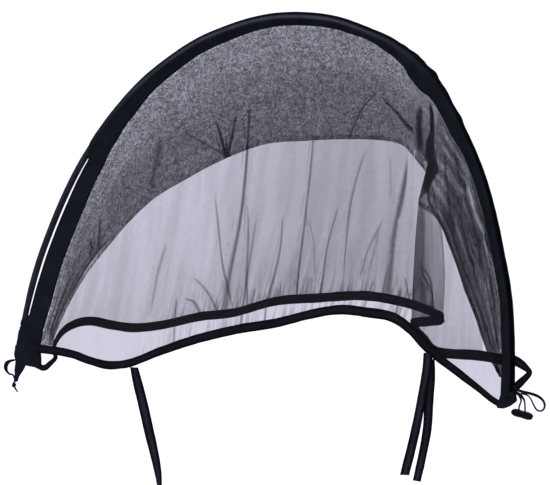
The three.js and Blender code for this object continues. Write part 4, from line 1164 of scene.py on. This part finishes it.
# %% Ties
LEFT_TIE = [  # drop, side, depth, width, turn in degrees
    [0, 0, 0, 10, 12], [18, 5, -1, 11.5, 20], [46, 12.8, -2, 12.2, 20], [76, 19.8, -2, 12.4, 12],
    [104, 26, -1, 12, 4], [124, 29.4, 0, 10.5, -8], [141, 31.4, 0, 8, -16],
]
RIGHT_TIE_FRONT = [
    [0, 0, 0, 10.5, 0], [20, -1, -2, 10.5, -6], [48, -5, -4, 10.5, -10], [80, -10.5, -4, 10.5, -4],
    [110, -17, -3, 10.5, 10], [140, -24.3, -2, 10.5, 14],
]
RIGHT_TIE_BACK = [
    [0, 0, 0, 10.5, 6], [20, 0.5, 1, 10.5, 10], [48, -1.2, 2, 10.5, 6], [80, -2.6, 2, 10.5, -4],
    [112, -7.6, 1, 10.5, -12], [140, -13, 0, 10, -10],
]


TIE_STEPS, TIE_THICKNESS = 90, 1.2


def tie(name, rows, top):
    """A tie from the point where it is sewn on, and its length."""
    drop, side, depth, width, turn = smooth_rows(rows, np.linspace(0, len(rows) - 1, TIE_STEPS)).T
    turn = np.radians(turn)
    none = np.zeros_like(turn)
    middle = np.stack([top[0] + side, top[1] + depth, top[2] - drop], -1)
    across = np.stack([np.cos(turn), np.sin(turn), none], -1)
    normal = np.stack([-np.sin(turn), np.cos(turn), none], -1)
    width = width * (1 + 0.02 * waves(drop, 41, 4, 15, 50))
    piece = ribbon(name, middle, across, normal, width, TIE_THICKNESS, FLAT_TAPE, tape_cloth)
    return piece, run_length(middle)[-1]


left_tie, left_tie_length = tie("left_hanging_tie", LEFT_TIE, (-136.5, -14, 0.4))
right_tie_front, front_tie_length = tie("right_hanging_tie_front", RIGHT_TIE_FRONT,
                                        (221.5, -11.1, 48.2))
right_tie_back, back_tie_length = tie("right_hanging_tie_back", RIGHT_TIE_BACK,
                                      (222.6, -7.1, 41))
print("ties:", [round(x) for x in (left_tie_length, front_tie_length, back_tie_length)], "mm")

# %% [markdown]
# The loops are flat elastic straps. Each is given by its corners, which are then cut off twice so
# that the strap bends softly, and by widths at even distances along it.

# %% Loops
LOOP_STEP, LOOP_THICKNESS, CORNER_CUT = 0.8, 2, 0.15
LEFT_LOOP = [[-278, -12], [-265, -15.6], [-248.8, -0.8], [-250.6, 5]]
RIGHT_LOOP = [[306, 44.5], [319, 38.8], [328.6, 32.5], [327.6, 28.5], [310, 9.5]]


def rounded(points, times=2):
    for _ in range(times):
        inner = [points[0]]
        for a, b in zip(points[:-1], points[1:]):
            inner += [a + (b - a) * CORNER_CUT, b + (a - b) * CORNER_CUT]
        points = np.array(inner + [points[-1]])
    return points


def loop(name, points, normal, widths):
    middle = spaced(rounded(np.array(points, float)), LOOP_STEP)
    across = unit(np.cross(unit(np.gradient(middle, axis=0)), normal))
    width = np.interp(np.linspace(0, 1, len(middle)), np.linspace(0, 1, len(widths)), widths)
    normals = np.broadcast_to(normal, middle.shape)
    return ribbon(name, middle, across, normals, width, LOOP_THICKNESS, FLAT_TAPE, elastic_cloth)


left_loop = loop("left_strap_loop", [[x, -2, z] for x, z in LEFT_LOOP], np.array([0.0, 1, 0]),
                 [6.5, 7.6, 7.2, 6.4, 5.6, 5])
right_loop = loop("right_strap_loop", [[x, z * math.tan(LEAN), z] for x, z in RIGHT_LOOP],
                  PLANE_NORMAL, [9.5, 10.5, 9, 6, 7, 8.5, 9, 9])
print("loops:", left_loop.name, right_loop.name)

# %% [markdown]
# ## Foot pockets
#
# A pocket is doubled cloth sewn round the rod's end, so its edges are soft. Its outline is filled,
# given a depth, remeshed into small even faces and smoothed, which rounds it like a stuffed seam.

# %% Foot pockets
LEFT_FOOT = [
    [-305.5, 11], [-272, 11], [-271.5, -4], [-272, -15.6], [-284, -14.8], [-293, -14],
    [-297.5, -21.5], [-303.8, -30.5], [-306.2, -37], [-307.6, -36], [-307.6, -20], [-305.6, -9],
    [-307.6, -2],
]
RIGHT_FOOT = [
    [300.5, 9], [315.4, 12], [317, 7], [318.4, 1.2], [311.6, -4.6], [306.2, -7.4], [301.5, -8.2],
    [297.2, -8.2], [295.6, -4], [298.4, -1],
]
FOOT_DEPTH, FACE_SIZE, SMOOTHINGS, POCKET_RIPPLE = 7, 0.75, 12, 0.15


def pocket(name, outline, seed):
    """A stuffed outline, with small ripples that its seed sets."""
    count = len(outline)
    points = [(x, side * FOOT_DEPTH / 2, z) for side in (-1, 1) for x, z in outline]
    faces = [list(range(count)), list(range(2 * count - 1, count - 1, -1))]
    faces += [[i, i + count, (i + 1) % count + count, (i + 1) % count] for i in range(count)]
    piece = finish_piece(name, points, faces, [(0, 0)] * len(points), casing_cloth)
    remesh = piece.modifiers.new("remesh", "REMESH")
    remesh.mode, remesh.voxel_size = "VOXEL", FACE_SIZE * MM
    relax = piece.modifiers.new("relax", "SMOOTH")
    relax.factor, relax.iterations = 0.5, SMOOTHINGS
    made = made_plain(piece)
    flat = np.empty(len(made.vertices) * 3)
    made.vertices.foreach_get("co", flat)
    flat = flat.reshape(-1, 3) / MM
    normals = np.array([v.normal[:] for v in made.vertices])
    ripple = POCKET_RIPPLE * waves(flat[:, 0] + 0.6 * flat[:, 2], seed, 5, 8, 20)
    flat += normals * ripple[:, None]
    made.vertices.foreach_set("co", (flat * MM).ravel())
    map_cloth(made, flat[:, [0, 2]])
    made.polygons.foreach_set("use_smooth", [True] * len(made.polygons))
    if not made.materials:
        made.materials.append(casing_cloth)
    made.update()
    return piece


left_foot = pocket("left_foot_pocket", LEFT_FOOT, 51)
right_foot = pocket("right_foot_pocket", RIGHT_FOOT, 52)
print("pockets:", len(left_foot.data.polygons), "and", len(right_foot.data.polygons), "faces")

# %% [markdown]
# ## Knot and cord lock
#
# The knot is a trefoil, the simplest closed knot, in cord of its own. The cord lock is moulded, so
# its edges are rounded by stepping its outline inwards towards both faces.

# %% Knot and cord lock
KNOT_MIDDLE, KNOT_SCALE, KNOT_CORD = np.array([-308.6, -2.6, -40]), 0.768, 1.15
LOCK_STEPS, LOCK_ROUNDING, LOCK_INSET = 9, 2.4, 2.0
angle = np.linspace(0, 2 * np.pi, 90)
trefoil = np.stack([0.8 * (2 + np.cos(3 * angle)) * np.cos(2 * angle), np.sin(3 * angle),
                    (2 + np.cos(3 * angle)) * np.sin(2 * angle)], -1)
knot_rings = round_rings(KNOT_MIDDLE + trefoil * KNOT_SCALE, KNOT_CORD, 10)
knot = closed_sweep("tied_knot", knot_rings, braid)

LOCK = dict(x=324.4, y=-0.3, z=-12.6, length=24, width=8.8, depth=8, tilt=-11)


def lock_outline(length, width, count=72):
    """A bean with two round lobes and a slight waist."""
    along = np.linspace(0, 2 * np.pi, count, endpoint=False)
    x = (length / 2) * np.sign(np.cos(along)) * np.abs(np.cos(along)) ** 0.8
    waist = 1 - 0.2 * bump_at(x, 0, 0.2 * length)
    y = (width / 2) * waist * np.sign(np.sin(along)) * np.abs(np.sin(along)) ** 0.75
    return np.stack([x, y], -1)


outline = lock_outline(LOCK["length"], LOCK["width"])
rings = []
for step in np.linspace(0, 1, LOCK_STEPS):
    depth = LOCK["depth"] * (step - 0.5)
    edge = max(0, abs(depth) - (LOCK["depth"] / 2 - LOCK_ROUNDING)) / LOCK_ROUNDING
    inset = LOCK_INSET * (1 - math.sqrt(max(0, 1 - edge ** 2)))
    size = 1 - inset / np.array([LOCK["length"] / 2, LOCK["width"] / 2])
    shape = outline * size
    tilt = math.radians(LOCK["tilt"])
    rings.append(np.stack([
        LOCK["x"] + shape[:, 0] * math.cos(tilt) - shape[:, 1] * math.sin(tilt),
        np.full(len(shape), LOCK["y"] + depth),
        LOCK["z"] + shape[:, 0] * math.sin(tilt) + shape[:, 1] * math.cos(tilt)], -1))
cord_lock = closed_sweep("bean_lock", np.array(rings), lock_plastic)
print("knot and cord lock made")

# %% [markdown]
# ## Stitches
#
# Two rows of stitches hold each hem, and one runs along the casing's inner seam. They repeat along
# a line, so a Geometry Nodes tree makes them: it resamples the line, sets one small thread on each
# point along the line's direction, makes the copies real and gives them their thread material.

# %% Stitch tree
STITCH = {"Pitch": 0.003, "Length": 0.0022, "Thickness": 0.0004}  # metres


def stitch_tree():
    tree = bpy.data.node_groups.new("stitch row", "GeometryNodeTree")
    new_socket = tree.interface.new_socket
    new_socket("Line", in_out="INPUT", socket_type="NodeSocketGeometry")
    for label, value in STITCH.items():
        new_socket(label, in_out="INPUT", socket_type="NodeSocketFloat").default_value = value
    new_socket("Thread", in_out="INPUT", socket_type="NodeSocketMaterial")
    new_socket("Stitches", in_out="OUTPUT", socket_type="NodeSocketGeometry")
    given, out = tree.nodes.new("NodeGroupInput").outputs, tree.nodes.new("NodeGroupOutput")

    def step(kind, inputs=None, **settings):
        return add_node(tree, kind, inputs, **settings).outputs[0]

    curve = step("GeometryNodeMeshToCurve", {0: given["Line"]})
    points = step("GeometryNodeResampleCurve", {"Curve": curve, "Length": given["Pitch"]},
                  mode="LENGTH")
    ball = step("GeometryNodeMeshUVSphere", {"Segments": 6, "Rings": 4, "Radius": 0.5})
    size = step("ShaderNodeCombineXYZ", {0: given["Thickness"], 1: given["Thickness"],
                                         2: given["Length"]})
    thread = step("GeometryNodeTransform", {"Geometry": ball, "Scale": size})
    tangent = step("GeometryNodeInputTangent")
    aim = step("FunctionNodeAlignRotationToVector", {"Vector": tangent}, axis="Z")
    copies = step("GeometryNodeInstanceOnPoints", {"Points": points, "Instance": thread,
                                                   "Rotation": aim})
    real = step("GeometryNodeRealizeInstances", {0: copies})
    painted = step("GeometryNodeSetMaterial", {"Geometry": real, "Material": given["Thread"]})
    fill(tree, out, {0: painted})
    return tree


stitches_tree = stitch_tree()
stitch_thread = cloth_material("stitch_thread", (0.012, 0.012, 0.018), (0.03, 0.03, 0.038),
                               0.0004, 0.6, 1, 0.7)


def stitch_row(name, lines):
    """Stitches along a few lines, as one plain mesh."""
    mesh = bpy.data.meshes.new(name)
    points, edges = [], []
    for line in lines:
        base = len(points)
        points += (line * MM).tolist()
        edges += [(base + i, base + i + 1) for i in range(len(line) - 1)]
    mesh.from_pydata(points, edges, [])
    row = bpy.data.objects.new(name, mesh)
    scene.collection.objects.link(row)
    modifier = row.modifiers.new("stitches", "NODES")
    modifier.node_group = stitches_tree
    values = {**STITCH, "Thread": stitch_thread}
    for socket in stitches_tree.interface.items_tree:
        if socket.name in values:
            modifier[socket.identifier] = values[socket.name]
    made = made_plain(row)
    if not made.uv_layers.get("cloth"):
        made.uv_layers.new(name="cloth")
    print(name, len(made.polygons), "faces")
    return row


# %% [markdown]
# A hem's two rows show on both of its faces. The casing's row runs a few points in from its seam.

# %% Stitch rows
STITCH_ASIDE, STITCH_PROUD = 3.6, 1.05  # from the hem's middle, across the tape and out of it
STITCH_ENDS = 3  # points left bare
SEAM_POINT = 3  # of the casing's cloth, counted from its seam


def hem_stitches(name, hem, up, out):
    ends = slice(STITCH_ENDS, -STITCH_ENDS)
    return stitch_row(name, [(hem + up * aside + out * proud)[ends]
                             for aside in (STITCH_ASIDE, -STITCH_ASIDE)
                             for proud in (-STITCH_PROUD, STITCH_PROUD)])


near_stitches = hem_stitches("near_hem_stitches", front_hem, front_up, front_out)
far_stitches = hem_stitches("far_hem_stitches", back_hem, back_up, back_out)
start, across, thick, x, y = casing_grid(np.linspace(0.004, 0.996, 700), 60)
in_x, in_y, _ = inward_steps(x, y)
outer = place_casing(start, across, thick, x - in_x * CASING_THICKNESS / 2,
                     y - in_y * CASING_THICKNESS / 2)
seam_stitches = stitch_row("casing_stitches", [outer[:, SEAM_POINT]])

# %% [markdown]
# ## Riding on the body
#
# Every piece rides on the one body and stands for its measured solid, which is hidden.

# %% Ride and replace
PIECES = [
    (rod, "rod", ["hoop"]), (casing, "casing_cloth", ["casing"]), (front_net, "net", ["front_net"]),
    (front_binding, "binding_tape", ["front_binding"]), (crown, "crown_net", ["crown_panel"]),
    (back_net, "net", ["back_net"]), (back_binding, "binding_tape", ["back_binding"]),
    (left_tie, "binding_tape", ["left_tie"]),
    (right_tie_front, "binding_tape", ["right_tie_front"]),
    (right_tie_back, "binding_tape", ["right_tie_back"]),
    (left_foot, "casing_cloth", ["left_foot"]), (right_foot, "casing_cloth", ["right_foot"]),
    (left_loop, "elastic", ["left_loop"]), (right_loop, "elastic", ["right_loop"]),
    (left_cord, "elastic_cord", ["left_cord", "left_cord_end"]),
    (knot, "elastic_cord", ["left_knot"]),
    (lock_cord, "elastic_cord", ["lock_cord_left", "lock_cord_right"]),
    (free_cord, "elastic_cord", ["free_cord"]), (cord_lock, "lock_plastic", ["cord_lock"]),
    (near_stitches, "binding_tape", []), (far_stitches, "binding_tape", []),
    (seam_stitches, "casing_cloth", []),
]
for piece, finish, nodes in PIECES:
    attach(piece, "root")
    if nodes:
        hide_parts(*nodes)
